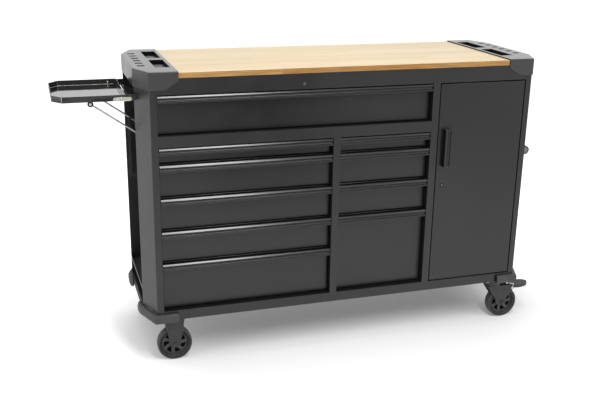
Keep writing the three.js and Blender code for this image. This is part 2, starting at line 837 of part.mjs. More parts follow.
// Drawer: folded front pan, open box body and two runner bars
function drawerBody({ x0, x1, z0, z1 }) {
  const fx0 = x0 + frontSideGap;
  const fx1 = x1 - frontSideGap;
  const fz0 = z0 + frontGap;
  const front = cut(
    block(fx0, fx1, frontSet, frontSet + frontFold, fz0, z1 - frontGap / 2),
    block(
      fx0 + wallSheet, fx1 - wallSheet, frontSet + wallSheet, frontSet + frontFold + overrun,
      fz0 + wallSheet, z1 - frontGap / 2 - wallSheet,
    ),
  );
  const bx0 = x0 + drawerSideSpace;
  const bx1 = x1 - drawerSideSpace;
  const by0 = frontSet + wallSheet / 2;
  const by1 = bodyDepth - drawerRearSpace;
  const bz0 = z0 + drawerFloorSpace;
  const bz1 = z1 - drawerTopSpace;
  const shell = cut(
    block(bx0, bx1, by0, by1, bz0, bz1),
    block(bx0 + wallSheet, bx1 - wallSheet, by0 + wallSheet, by1 - wallSheet, bz0 + wallSheet, bz1 + overrun),
  );
  const low = z0 + runnerRise + runnerSheet + seat;
  const high = z0 + runnerRise + runnerHeight - runnerSheet - seat;
  const barStart = frontSet + frontFold + seat;
  const reach = runnerSheet + seat;
  const left = block(x0 + reach, bx0 + wallSheet / 2, barStart, barStart + runnerLength, low, high);
  const right = block(bx1 - wallSheet / 2, x1 - reach, barStart, barStart + runnerLength, low, high);
  return join(front, shell, left, right);
}

function grip({ x0, x1, z1 }) {
  const top = z1 - frontGap / 2;
  return section(gripProfile.map(([y, z]) => [y, z + top]), x0 + gripSideGap, x1 - gripSideGap);
}

for (const place of [topPlace, ...leftPlaces, ...rightPlaces]) {
  add(place.name, drawerBody(place), powderCoat);
  add(`${place.name}_handle`, grip(place), gripCoat);
}

// Door: a folded pan on two pivot pins at its right edge
const doorX = [doorEdgeA + doorGap, doorEdgeB - doorGap];
const doorZ = [openingBottom + doorGap, openingTop - doorGap];
const pinX = doorX[1] - doorPinInset;

function doorPanel() {
  const pan = cut(
    block(...doorX, 0, doorThick, ...doorZ),
    block(
      doorX[0] + wallSheet, doorX[1] - wallSheet, wallSheet, doorThick + overrun,
      doorZ[0] + wallSheet, doorZ[1] - wallSheet,
    ),
  );
  const boss = doorPinRadius * 2;
  const low = doorZ[0] - doorGap - frameSheet;
  const pins = [
    barZ(doorPinRadius, pinX, doorPinSet, low, doorZ[0] + boss, 12),
    barZ(doorPinRadius, pinX, doorPinSet, doorZ[1] - boss, doorZ[1] + doorPinLength, 12),
  ];
  const hole = barY(lockRadius + seat, doorLockX, doorLockZ, -overrun, doorThick, 16);
  return join(pan, ...pins).subtract(hole);
}
add('door', doorPanel(), powderCoat);

function doorGrip() {
  const x1 = doorX[0] + doorHandleInset + gripHeight;
  const outline = gripProfile.map(([depth, height]) => [x1 - gripHeight - height, depth - gripDepth - seat]);
  return plan(outline.reverse(), doorHandleTop - doorHandleLength, doorHandleTop);
}
add('door_handle', doorGrip(), gripCoat);

// Cam lock: flanged barrel through the sheet with a cam on its inner end
function camLock(x, z, length, camLength) {
  return join(
    barY(lockFlange, x, z, -lockProud, -seat, 20),
    barY(lockRadius, x, z, -lockProud / 2, length, 16),
    block(x - camWidth / 2, x + camWidth / 2, length - camThick, length, z - camLength, z + camWidth / 2),
  );
}
add('drawer_lock', camLock(drawerLockX, drawerLockZ, lockBarrel, drawerCamLength), steel);
add('door_lock', camLock(doorLockX, doorLockZ, rimDepth + overrun, doorCamLength), steel);

// Side tray on its hinge rod
const rodX = -sideX - hingeOut;
const rodZ = trayTop - hingeDrop;
const trayX1 = rodX - trayGap;
const trayX0 = trayX1 - trayLength;
const trayY = [flareDepth - trayLap, bodyDepth - flareDepth - trayRearGap];
const trayFloor = trayTop - trayRim;
const stayX = rodX - stayUpperOut;
const stayZ = rodZ - stayUpperDrop;
const stayLow = [-sideX + stayLowerOut, rodZ - stayLowerDrop];
const stayY = [trayY[0] + stayInset, trayY[1] - stayInset];
const earY = [trayY[0] + earInset, trayY[1] - earInset];

function sideTray() {
  const outline = [
    [trayX1, trayY[0]],
    [trayX1, trayY[1]],
    [trayX0 + trayCorner, trayY[1]],
    [trayX0, trayY[1] - trayCornerDepth],
    [trayX0, trayY[0] + trayCornerDepth],
    [trayX0 + trayCorner, trayY[0]],
  ];
  const pan = cut(
    plan(outline, trayFloor, trayTop),
    plan(grow(outline, -traySheet), trayFloor + traySheet, trayTop + overrun),
  );
  let tray = pan;
  for (const [y, side] of [[stayY[0], 1], [stayY[1], -1]]) {
    const y0 = Math.min(y + side * (stayRadius + seat), y + side * (stayRadius + seat + earThick));
    const lug = join(
      barY(lugRadius, stayX, stayZ, y0, y0 + earThick, 16),
      block(stayX - lugRadius, stayX + lugRadius, y0, y0 + earThick, stayZ, trayFloor + traySheet / 2),
    );
    tray = tray.add(lug.subtract(barY(stayPin + seat, stayX, stayZ, y0 - overrun, y0 + overrun * 2, 12)));
  }
  return tray;
}
add('side_tray', sideTray(), innerCoat);

// Hinge arms outside the tray's rims
function trayArm(side) {
  const rim = side < 0 ? trayY[0] - seat - armThick : trayY[1] + seat;
  const r = armHeight / 2;
  const outline = [
    ...arc(rodX, rodZ, r, -90, 90, 6),
    ...arc(rodX - armLength, rodZ, r, 90, 270, 6),
  ];
  const arm = face(outline, rim, rim + armThick);
  return arm.subtract(barY(hingeRod + seat, rodX, rodZ, rim - overrun, rim + armThick + overrun, 16));
}
add('tray_arm_front', trayArm(-1), zinc);
add('tray_arm_rear', trayArm(1), zinc);

// Hinge bracket on the wall: a strap with two ears that hold the hinge rod
function trayBracket() {
  const wall = leftWallX - seat;
  const strapZ = [rodZ - strapHeight / 2, rodZ + strapHeight / 2];
  const y0 = earY[0];
  const y1 = earY[1];
  const pieces = [block(wall - earThick, wall, y0, y1, ...strapZ)];
  const r = hingeRod * 2;
  for (const y of [y0, y1 - earThick]) {
    const outline = [
      [wall, strapZ[0]],
      [wall, strapZ[1]],
      [wall - strapHeight / 2, strapZ[1]],
      ...arc(rodX, rodZ, r, 60, 300, 8),
      [wall - strapHeight / 2, strapZ[0]],
    ].reverse();
    pieces.push(face(outline, y, y + earThick));
  }
  const end = armThick * 2 + seat;
  pieces.push(barY(hingeRod, rodX, rodZ, trayY[0] - end, trayY[1] + end, 12));
  return join(...pieces);
}
add('tray_bracket', trayBracket(), zinc);

// Stay: two rods joined by a cross rod that slides in the guide
function stay() {
  const [lx, lz] = stayLow;
  const pieces = [];
  for (const [y, side] of [[stayY[0], 1], [stayY[1], -1]]) {
    pieces.push(rod(stayRadius, [stayX, y, stayZ], [lx, y, lz]));
    const inner = y + side * (stayRadius + seat * 2 + earThick);
    pieces.push(barY(stayPin, stayX, stayZ, Math.min(y, inner), Math.max(y, inner), 8));
    pieces.push(barY(stayRadius, stayX, stayZ, y - stayRadius, y + stayRadius, 8));
  }
  pieces.push(barY(stayRadius, lx, lz, stayY[0] - stayRadius, stayY[1] + stayRadius, 8));
  return join(...pieces);
}
add('tray_stay', stay(), steel);

// Guide: a channel on the wall, its two flanges slotted for the cross rod
function stayGuide() {
  const wall = leftWallX - seat;
  const [lx, lz] = stayLow;
  const y0 = trayY[0] + guideInset;
  const y1 = trayY[1] - guideInset;
  const room = stayRadius + seat * 3;
  const slotX = [lx - guideDrift - room, lx + room];
  const slotZ = [lz - guideFall - room, lz + room + stayRadius];
  const z0 = slotZ[0] - guideEdge;
  const z1 = slotZ[1] + guideEdge;
  const x0 = slotX[0] - guideEdge;
  const channel = cut(
    block(x0, wall, y0, y1, z0, z1),
    block(x0 - overrun, wall - traySheet, y0 + traySheet, y1 - traySheet, z0 - overrun, z1 + overrun),
  );
  return channel.subtract(block(...slotX, y0 - overrun, y1 + overrun, ...slotZ));
}
add('stay_guide', stayGuide(), zinc);

// Push bar with end caps on two cast brackets
const barX = sideX + barOut;
const barY0 = flareDepth + barInset;
const barY1 = bodyDepth - flareDepth - barInset;
add('push_bar', join(
  barY(barRadius, barX, barLevel, barY0, barY1, 24),
  barY(barCapRadius, barX, barLevel, barY0 - barCapThick, barY0 + seat, 24),
  barY(barCapRadius, barX, barLevel, barY1 - seat, barY1 + barCapThick, 24),
), gripCoat);

function barBracket(y) {
  const wall = rightWallX + seat;
  const ring = barRadius + bracketRing;
  const y0 = y - bracketThick / 2;
  const y1 = y + bracketThick / 2;
  const arm = [
    [wall, barLevel - bracketHeight / 2],
    [wall + bracketHeight / 3, barLevel - ring * 2 / 3],
    [barX, barLevel - ring],
    [barX, barLevel + ring],
    [wall + bracketHeight / 3, barLevel + ring * 2 / 3],
    [wall, barLevel + bracketHeight / 2],
  ];
  const foot = block(wall, wall + bracketFoot, y - bracketInset / 2, y + bracketInset / 2,
    barLevel - bracketHeight / 2, barLevel + bracketHeight / 2);
  const body = join(face(arm, y0, y1), barY(ring, barX, barLevel, y0, y1, 24), foot);
  return body.subtract(barY(barRadius + seat, barX, barLevel, y0 - overrun, y1 + overrun, 24));
}
add('push_bracket_front', barBracket(barY0 + bracketInset), casterCoat);
add('push_bracket_rear', barBracket(barY1 - bracketInset), casterCoat);

// The origin lies on the floor under the middle of the outer sizes
const reach = new THREE.Box3().setFromObject(cart);
const middle = reach.getCenter(new THREE.Vector3());
cart.position.set(-middle.x, -middle.y, -reach.min.z);

export default cart;
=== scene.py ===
import json
import math

import bmesh
import bpy
from mathutils import Matrix, Vector


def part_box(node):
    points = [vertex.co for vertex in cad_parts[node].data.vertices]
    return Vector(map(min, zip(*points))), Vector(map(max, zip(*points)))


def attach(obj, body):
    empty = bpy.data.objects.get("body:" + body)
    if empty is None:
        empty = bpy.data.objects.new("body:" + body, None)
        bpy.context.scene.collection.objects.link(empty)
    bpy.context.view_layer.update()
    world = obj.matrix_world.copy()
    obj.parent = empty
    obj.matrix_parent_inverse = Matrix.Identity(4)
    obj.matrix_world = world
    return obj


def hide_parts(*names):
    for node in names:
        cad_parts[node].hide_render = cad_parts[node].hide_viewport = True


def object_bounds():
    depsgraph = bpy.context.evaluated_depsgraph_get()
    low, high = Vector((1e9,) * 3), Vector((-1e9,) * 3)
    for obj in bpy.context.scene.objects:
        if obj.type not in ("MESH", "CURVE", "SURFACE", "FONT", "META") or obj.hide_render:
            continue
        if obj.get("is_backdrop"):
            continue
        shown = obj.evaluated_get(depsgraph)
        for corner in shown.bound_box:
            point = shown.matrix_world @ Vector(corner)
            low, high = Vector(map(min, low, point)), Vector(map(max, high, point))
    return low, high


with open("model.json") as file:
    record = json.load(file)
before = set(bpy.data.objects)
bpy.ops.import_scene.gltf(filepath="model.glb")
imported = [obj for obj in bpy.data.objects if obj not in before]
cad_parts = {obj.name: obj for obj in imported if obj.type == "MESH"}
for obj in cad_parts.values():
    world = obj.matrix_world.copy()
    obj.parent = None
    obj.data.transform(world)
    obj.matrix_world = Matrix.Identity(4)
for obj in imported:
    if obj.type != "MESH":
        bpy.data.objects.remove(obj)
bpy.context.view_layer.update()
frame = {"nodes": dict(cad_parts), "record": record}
nodes = frame["nodes"]
record = frame["record"]
body_of = {node: body for body, members in record["behaviour"]["bodies"].items() for node in members}
slot_of = {entry["node"]: entry["material_slot"] for entry in record["subparts"]}

MM = 0.001

# The cabinet's own frame: middle of the front frame, front plane, floor
front_low, front_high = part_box("front_frame")
MIDDLE_X = (front_low.x + front_high.x) / 2
FRONT_Y = front_low.y

# Sizes of the cabinet in that frame, in millimetres
HALF_FRONT = 700.0
BODY_DEPTH = 505.0
MIDDLE_Y = BODY_DEPTH / 2
FRAME_BOTTOM = 172.0
CASTER_Y = {"front": 50.0, "rear": 455.0}

# How close a point counts as lying on a plane, in millimetres
NEAR = 0.1


def place(x, y, z):
    """A point given in millimetres from the cabinet's middle, front plane and floor."""
    return Vector((MIDDLE_X + x * MM, FRONT_Y + y * MM, z * MM))


def in_cabinet(point):
    """A point of the scene, in millimetres from the cabinet's middle, front plane and floor."""
    return Vector(((point.x - MIDDLE_X) / MM, (point.y - FRONT_Y) / MM, point.z / MM))


def starting_with(prefix):
    """The CAD nodes whose names start with a prefix."""
    return [name for name in nodes if name.startswith(prefix)]


def add_object(name, data):
    """An object in the scene that carries this mesh, lamp or camera."""
    made = bpy.data.objects.new(name, data)
    bpy.context.scene.collection.objects.link(made)
    return made


def mesh_object(name, bm, materials):
    """Makes a finished mesh an object with its materials, and frees the mesh in the making."""
    mesh = bpy.data.meshes.new(name)
    bm.to_mesh(mesh)
    bm.free()
    for material in materials:
        mesh.materials.append(material)
    return add_object(name, mesh)


# Camera: angles in radians, its place in millimetres, its focal length in pixels of the picture
CAMERA_YAW = 0.31006
CAMERA_PITCH = 0.31602
CAMERA_ROLL = 0.01629
CAMERA_PLACE = (-1074.3, -2771.3, 1529.2)
FOCAL_LENGTH = 869.25
PICTURE_WIDTH = 600.0


def add_camera():
    ahead = math.cos(CAMERA_PITCH)
    forward = Vector((math.sin(CAMERA_YAW) * ahead, math.cos(CAMERA_YAW) * ahead, -math.sin(CAMERA_PITCH)))
    right = Vector((math.cos(CAMERA_YAW), -math.sin(CAMERA_YAW), 0.0))
    up = right.cross(forward)
    right_rolled = right * math.cos(CAMERA_ROLL) + up * math.sin(CAMERA_ROLL)
    up_rolled = up * math.cos(CAMERA_ROLL) - right * math.sin(CAMERA_ROLL)
    turn = Matrix((right_rolled, up_rolled, -forward)).transposed()
    data = bpy.data.cameras.new("camera")
    data.sensor_width = 36.0
    data.lens = FOCAL_LENGTH / PICTURE_WIDTH * data.sensor_width
    data.clip_end = 100.0
    camera = add_object("camera", data)
    camera.matrix_world = Matrix.Translation(place(*CAMERA_PLACE)) @ turn.to_4x4()
    bpy.context.scene.camera = camera


add_camera()


# Shader tools
def linear(code):
    """An sRGB hex colour as a linear colour with alpha."""
    channels = [int(code[i:i + 2], 16) / 255.0 for i in (1, 3, 5)]
    return tuple(c / 12.92 if c <= 0.04045 else ((c + 0.055) / 1.055) ** 2.4 for c in channels) + (1.0,)


def add_node(tree, kind, settings=None, links=None):
    """A shader node with its settings (stops, input values or attributes) and its incoming links."""
    node = tree.nodes.new(kind)
    for key, value in (settings or {}).items():
        if key == "stops":
            elements = node.color_ramp.elements
            while len(elements) < len(value):
                elements.new(1.0)
            for element, (position, colour) in zip(elements, value):
                element.position = position
                element.color = colour
        elif isinstance(key, int) or key in node.inputs:
            node.inputs[key].default_value = value
        else:
            setattr(node, key, value)
    for key, source in (links or {}).items():
        tree.links.new(source, node.inputs[key])
    return node


def new_material(name, **sockets):
    """A material with its shader's constant sockets set, and the object's own coordinates."""
    material = bpy.data.materials.new(name)
    material.use_nodes = True
    tree = material.node_tree
    shader = tree.nodes["Principled BSDF"]
    for key, value in sockets.items():
        shader.inputs[key.replace("_", " ")].default_value = value
    where = add_node(tree, "ShaderNodeTexCoord").outputs["Object"]
    return material, tree, shader, where


# Materials: sizes of their patterns in millimetres
TONE_DRIFT = 285.7
GLOSS_DRIFT = 71.43
PLASTIC_BLOOM = 111.1
PLATING_CLOUD = 16.67


def powder_coat(name, dark, light, roughness, peel_size=1.6, depth=0.12, ior=1.5):
    """Sprayed powder: a fine orange peel, with slow drifts of tone and gloss over the sheet."""
    material, tree, shader, where = new_material(name, IOR=ior)
    drift = add_node(tree, "ShaderNodeTexNoise", {"Scale": 1.0 / (TONE_DRIFT * MM), "Detail": 3.0},
                     {"Vector": where})
    tone = add_node(tree, "ShaderNodeValToRGB", {"stops": [(0.35, linear(dark)), (0.68, linear(light))]},
                    {"Fac": drift.outputs["Fac"]})
    tree.links.new(tone.outputs["Color"], shader.inputs["Base Color"])
    gloss = add_node(tree, "ShaderNodeTexNoise", {"Scale": 1.0 / (GLOSS_DRIFT * MM), "Detail": 4.0},
                     {"Vector": where})
    rough = add_node(tree, "ShaderNodeMapRange", {
        "From Min": 0.3, "From Max": 0.7, "To Min": roughness - 0.02, "To Max": roughness + 0.03,
    }, {"Value": gloss.outputs["Fac"]})
    tree.links.new(rough.outputs["Result"], shader.inputs["Roughness"])
    peel = add_node(tree, "ShaderNodeTexNoise", {"Scale": 1.0 / (peel_size * MM), "Detail": 2.0},
                    {"Vector": where})
    bump = add_node(tree, "ShaderNodeBump", {"Strength": depth, "Distance": 0.2 * MM},
                    {"Height": peel.outputs["Fac"]})
    tree.links.new(bump.outputs["Normal"], shader.inputs["Normal"])
    return material


def moulded(name, dark, light, roughness, grain_size, depth, specular=0.5):
    """Moulded plastic with a soft bloom of lighter tone and a spark-eroded grain, drawn coarser to show."""
    material, tree, shader, where = new_material(name, IOR=1.53, Roughness=roughness,
                                                 Specular_IOR_Level=specular)
    bloom = add_node(tree, "ShaderNodeTexNoise", {"Scale": 1.0 / (PLASTIC_BLOOM * MM), "Detail": 4.0},
                     {"Vector": where})
    tone = add_node(tree, "ShaderNodeValToRGB", {"stops": [(0.3, linear(dark)), (0.72, linear(light))]},
                    {"Fac": bloom.outputs["Fac"]})
    tree.links.new(tone.outputs["Color"], shader.inputs["Base Color"])
    grain = add_node(tree, "ShaderNodeTexVoronoi", {"Scale": 1.0 / (grain_size * MM)}, {"Vector": where})
    bump = add_node(tree, "ShaderNodeBump", {"Strength": depth, "Distance": 0.3 * MM},
                    {"Height": grain.outputs["Distance"]})
    tree.links.new(bump.outputs["Normal"], shader.inputs["Normal"])
    return material


def metal(name, dark, light, roughness, depth=0.05):
    """Plated or drawn metal: a clouded bright base, a little rougher and raised in its lighter clouds."""
    material, tree, shader, where = new_material(name, Metallic=1.0)
    cloud = add_node(tree, "ShaderNodeTexNoise", {"Scale": 1.0 / (PLATING_CLOUD * MM), "Detail": 5.0},
                     {"Vector": where})
    tone = add_node(tree, "ShaderNodeValToRGB", {"stops": [(0.3, linear(dark)), (0.7, linear(light))]},
                    {"Fac": cloud.outputs["Fac"]})
    tree.links.new(tone.outputs["Color"], shader.inputs["Base Color"])
    rough = add_node(tree, "ShaderNodeMapRange", {"To Min": roughness - 0.08, "To Max": roughness + 0.1},
                     {"Value": cloud.outputs["Fac"]})
    tree.links.new(rough.outputs["Result"], shader.inputs["Roughness"])
    bump = add_node(tree, "ShaderNodeBump", {"Strength": depth, "Distance": 0.2 * MM},
                    {"Height": cloud.outputs["Fac"]})
    tree.links.new(bump.outputs["Normal"], shader.inputs["Normal"])
    return material


# Size of one glued stave of the worktop, how far each row is shifted, and the size of a wood fibre
STAVE_WIDTH = 44.0
STAVE_LENGTH = 520.0
ROW_SHIFT = 0.618
FIBRE_LENGTH = 71.43
FIBRE_SLENDERNESS = 26.0


def rubberwood(name, tones, vein, roughness):
    """Oiled rubberwood, glued up from long staves: each has its own tone and fine grain along X."""
    material, tree, shader, where = new_material(name, IOR=1.5, Roughness=roughness)
    split = add_node(tree, "ShaderNodeSeparateXYZ", links={"Vector": where}).outputs
    rows = add_node(tree, "ShaderNodeMath", {"operation": "DIVIDE", 1: STAVE_WIDTH * MM}, {0: split["Y"]})
    row = add_node(tree, "ShaderNodeMath", {"operation": "FLOOR"}, {0: rows.outputs["Value"]})
    shift = add_node(tree, "ShaderNodeMath", {"operation": "MULTIPLY", 1: ROW_SHIFT},
                     {0: row.outputs["Value"]})
    part = add_node(tree, "ShaderNodeMath", {"operation": "FRACT"}, {0: shift.outputs["Value"]})
    run = add_node(tree, "ShaderNodeMath", {"operation": "DIVIDE", 1: STAVE_LENGTH * MM}, {0: split["X"]})
    along = add_node(tree, "ShaderNodeMath", {"operation": "ADD"},
                     {0: run.outputs["Value"], 1: part.outputs["Value"]})
    column = add_node(tree, "ShaderNodeMath", {"operation": "FLOOR"}, {0: along.outputs["Value"]})
    cell = add_node(tree, "ShaderNodeCombineXYZ",
                    links={"X": column.outputs["Value"], "Y": row.outputs["Value"]})
    chance = add_node(tree, "ShaderNodeTexWhiteNoise", {"noise_dimensions": "3D"},
                      {"Vector": cell.outputs["Vector"]})
    stops = [(position, linear(tone)) for position, tone in zip((0.0, 0.4, 0.75, 1.0), tones)]
    stave = add_node(tree, "ShaderNodeValToRGB", {"stops": stops}, {"Fac": chance.outputs["Value"]})
    moved = add_node(tree, "ShaderNodeVectorMath", {"operation": "MULTIPLY_ADD", 1: (3.0, 3.0, 3.0)},
                     {0: chance.outputs["Color"], 2: where})
    slender = (1.0, FIBRE_SLENDERNESS, FIBRE_SLENDERNESS)
    stretched = add_node(tree, "ShaderNodeMapping", {"Scale": slender}, {"Vector": moved.outputs["Vector"]})
    fibre = add_node(tree, "ShaderNodeTexNoise",
                     {"Scale": 1.0 / (FIBRE_LENGTH * MM), "Detail": 6.0, "Distortion": 0.4},
                     {"Vector": stretched.outputs["Vector"]})
    vein_stops = [(0.35, linear(vein)), (0.62, linear("#ffffff"))]
    veins = add_node(tree, "ShaderNodeValToRGB", {"stops": vein_stops}, {"Fac": fibre.outputs["Fac"]})
    mix = add_node(tree, "ShaderNodeMix", {"data_type": "RGBA", "blend_type": "MULTIPLY", "Factor": 0.6},
                   {6: stave.outputs["Color"], 7: veins.outputs["Color"]})
    tree.links.new(mix.outputs[2], shader.inputs["Base Color"])
    bump = add_node(tree, "ShaderNodeBump", {"Strength": 0.1, "Distance": 0.4 * MM},
                    {"Height": fibre.outputs["Fac"]})
    tree.links.new(bump.outputs["Normal"], shader.inputs["Normal"])
    return material


# Semi-gloss black powder coat: dark with a soft sheen of the room
COAT = powder_coat("powder_coat_black", "#111113", "#18181a", 0.31)
# The posts and the top rail carry a slightly greyer copy of the same powder
POST = powder_coat("powder_coat_graphite", "#171718", "#1e1e1f", 0.34)
# Painted shade: the openings' reveals, the base pan's ends, the tray's bracket and the push bar's end rims
# are painted almost black for the shade in them
SHADE_SATIN = powder_coat("painted_shade_satin", "#070708", "#0c0c0d", 0.6, ior=1.3)
# The walls inside are painted a little greyer than the coat outside
INSIDE = powder_coat("powder_coat_inside", "#28282a", "#303032", 0.5)
# Dipped caster steel: thin, slightly grainy coat
CASTER = powder_coat("cathodic_coat", "#1f1f21", "#28282a", 0.45, peel_size=1.0, depth=0.2)
# Lacquered aluminium section: smooth and glossy, so that its lip draws a bright line
GRIP = powder_coat("lacquered_aluminium_lip", "#0b0b0c", "#0f0f10", 0.2, peel_size=0.8, depth=0.02, ior=1.56)
# The same section in its finger groove, where the lacquer is thin and matt
GROOVE = powder_coat("lacquered_aluminium_groove", "#111112", "#171718", 0.42, peel_size=0.8, depth=0.05)
# Glossy enamel inside the tray mirrors its rims and the room
TRAY_FLOOR = metal("glossy_enamel", "#838383", "#8d8d8d", 0.06, depth=0.001)
# The caps' polished tops mirror the room's light
ABS = moulded("moulded_abs", "#2f2f2f", "#373737", 0.18, 0.7, 0.08)
# The caps' front faces carry a coarser grain than their tops
ABS_GRAIN = moulded("moulded_abs_grained", "#2b2b2b", "#323232", 0.42, 0.7, 0.14)
# Painted light: recess floors and the bar's end disc are painted pale grey for the light they catch
ABS_PALE_LIT = moulded("moulded_abs_pale_lit", "#666666", "#727272", 0.3, 0.7, 0.2)
# Soft bumper plastic: matt and coarse, with hardly a highlight
BUMPER = moulded("moulded_polypropylene", "#313132", "#3a3a3b", 0.55, 0.9, 0.4)
# Tyre: matt with a scuffed, uneven surface
TREAD = moulded("polyurethane_tread", "#29292a", "#323233", 0.6, 1.2, 0.3)
# Wheel rim: harder and greyer than the tyre round it
RIM = moulded("glass_filled_nylon", "#343436", "#404042", 0.5, 0.6, 0.2)
# Painted shade: hollows, gaps and shaded sides that little light reaches are painted black, which stays
# black from every side
SHADE_BLACK = moulded("painted_shade_black", "#030303", "#060606", 0.85, 0.6, 0.1, specular=0.1)
# Oiled face of the worktop, pale rubberwood painted paler still as painted light from above, with a dull
# shine along the staves
WOOD_LIT_FACE = rubberwood("rubberwood_lit_face", ("#c0aa81", "#c7b28a", "#cdb992", "#c3ae86"), "#dfd6c6", 0.3)
# Its sides are painted darker and warmer than the face, as painted shade
WOOD_SHADED_SIDE = rubberwood("rubberwood_shaded_side", ("#956a32", "#a97f45", "#b38e58", "#9e733a"), "#b9a48a", 0.42)
# Zinc plate with a faint yellow cloud, on the tray's arms and the small steel parts
ZINC = metal("zinc_plate", "#bcbcae", "#dcdcd0", 0.34)
# Small turned heads are brighter than the plate under them
BRIGHT = metal("bright_zinc_heads", "#dadad6", "#f0f0ec", 0.28)
# Drawn wire of the stay: greyer than the plate, with a soft line of light
STEEL = metal("bright_steel_wire", "#8a8a88", "#b0b0ad", 0.3)
# Lock plugs: dull nickel, worn by keys
PLUG = metal("nickel_lock_plug", "#77776f", "#8d8d86", 0.38)
# Rubber ring of the stay's pivots: black and dry
RUBBER_RING = moulded("nitrile_rubber", "#060606", "#0b0b0b", 0.7, 0.5, 0.1, specular=0.25)
# White pivot cap inside the rubber ring
WHITE_CAP = moulded("nylon_pivot_cap", "#e2e2e0", "#f0f0ee", 0.4, 0.5, 0.1)

FINISH = {
    "powder_black": COAT,
    "inner_black": INSIDE,
    "grip_black": GRIP,
    "cap_moulding": ABS,
    "bumper_moulding": BUMPER,
    "worktop_wood": WOOD_LIT_FACE,
    "zinc": ZINC,
    "steel_bright": STEEL,
    "caster_coat": CASTER,
    "wheel_black": TREAD,
}
for node, obj in nodes.items():
    obj.data.materials.clear()
    obj.data.materials.append(FINISH[slot_of[node]])


# Mesh tools
def copy_of(node):
    """A CAD node's mesh with its loose triangles merged and its flat faces made whole."""
    bm = bmesh.new()
    bm.from_mesh(nodes[node].data)
    bmesh.ops.remove_doubles(bm, verts=bm.verts, dist=0.01 * MM)
    bmesh.ops.dissolve_limit(bm, angle_limit=math.radians(1.0), verts=bm.verts, edges=bm.edges)
    return bm


def bevel(bm, edges, width, segments=2):
    """Rounds edges by a width in millimetres."""
    bmesh.ops.bevel(bm, geom=edges, offset=width * MM, offset_type="OFFSET", segments=segments, profile=0.5,
                    affect="EDGES", clamp_overlap=True, material=-1)


def round_edges(bm, width, segments=2, chosen=None, least=25.0):
    """Rounds the edges that turn by more than least degrees, all of them or the chosen ones."""
    edges = [
        edge for edge in bm.edges
        if len(edge.link_faces) == 2 and edge.calc_face_angle() > math.radians(least)
        and (chosen is None or chosen(in_cabinet((edge.verts[0].co + edge.verts[1].co) / 2), edge))
    ]
    bevel(bm, edges, width, segments)


def within(value, limits):
    """Whether a value lies between two limits."""
    return limits[0] < value < limits[1]


def rise(edge):
    """How far an edge climbs, in millimetres."""
    return abs(edge.verts[0].co.z - edge.verts[1].co.z) / MM


def paint(bm, pick):
    """Gives each face the finish that pick names by its number, from the face's middle and the face."""
    for face in bm.faces:
        face.material_index = int(pick(in_cabinet(face.calc_center_median()), face))


def faces_of(verts):
    """The faces that touch these points, each once and in a steady order."""
    return list(dict.fromkeys(face for vert in verts for face in vert.link_faces))


def edges_of(verts):
    """The edges that touch these points, each once and in a steady order."""
    return list(dict.fromkeys(edge for vert in verts for edge in vert.link_edges))


def inset(bm, faces, width, rising=0.0):
    """Draws faces in by a width and raises them, in millimetres."""
    bmesh.ops.inset_region(bm, faces=faces, thickness=width * MM, depth=rising * MM, use_boundary=True,
                           use_even_offset=True)


def add_cone(bm, matrix, segments, radius, tip, height):
    """A closed cone or cylinder, its radii and height in millimetres."""
    return bmesh.ops.create_cone(bm, cap_ends=True, segments=segments, radius1=radius * MM, radius2=tip * MM,
                                 depth=height * MM, matrix=matrix)["verts"]


def add_block(bm, centre, sides):
    """A block round a point of the scene, its sides in millimetres."""
    scale = Matrix.Diagonal((sides[0] * MM, sides[1] * MM, sides[2] * MM, 1.0))
    return bmesh.ops.create_cube(bm, size=1.0, matrix=Matrix.Translation(centre) @ scale)["verts"]


def aimed(direction):
    """The turn that points the Z axis along a direction."""
    return direction.to_track_quat("Z", "Y").to_matrix().to_4x4()


def rod(bm, start, end, radius, segments=16):
    """A round rod between two points of the scene."""
    along = end - start
    middle = Matrix.Translation((start + end) / 2)
    add_cone(bm, middle @ aimed(along), segments, radius, radius, along.length / MM)


def spin_profile(bm, points, centre, steps):
    """Spins points of radius and distance along Y, in millimetres, round the Y axis."""
    verts = [bm.verts.new(centre + Vector((radius, along, 0.0)) * MM) for radius, along in points]
    edges = [bm.edges.new(pair) for pair in zip(verts, verts[1:])]
    bmesh.ops.spin(bm, geom=verts + edges, cent=centre, axis=(0.0, 1.0, 0.0), angle=math.tau, steps=steps,
                   use_merge=True)


def turned(points, centre, steps=48):
    """A closed turned shape from a profile of radius and distance along Y."""
    bm = bmesh.new()
    spin_profile(bm, points, centre, steps)
    bmesh.ops.remove_doubles(bm, verts=bm.verts, dist=0.01 * MM)
    bmesh.ops.recalc_face_normals(bm, faces=bm.faces)
    return bm


def mirrored(half):
    """A whole profile from its half at positive Y, beginning at the negative side."""
    return [(radius, -along) for radius, along in half] + half[::-1]


def merge_in(bm, other):
    """Adds another mesh to this one and frees it."""
    carrier = bpy.data.meshes.new("carrier")
    other.to_mesh(carrier)
    other.free()
    bm.from_mesh(carrier)
    bpy.data.meshes.remove(carrier)


def add_piece(bm, name, body, materials, stands_for=(), sharp=50.0):
    """Makes a finished mesh a piece of the cart: its finish, its body and the node that it stands for."""
    piece = mesh_object(name, bm, materials)
    piece.data.shade_smooth()
    piece.data.set_sharp_from_angle(angle=math.radians(sharp))
    even = piece.modifiers.new("even_shading", "WEIGHTED_NORMAL")
    even.keep_sharp = True
    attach(piece, body)
    if stands_for:
        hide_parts(*stands_for)
    return piece


def dress(node, bm, materials):
    """A piece that stands for one CAD node and rides where the node does."""
    return add_piece(bm, node + "_finished", body_of[node], materials, (node,))


def dress_softly(node, width, material, least=40.0):
    """Dresses a CAD node as it is, with its sharp edges rounded."""
    bm = copy_of(node)
    round_edges(bm, width, 2, least=least)
    dress(node, bm, [material])


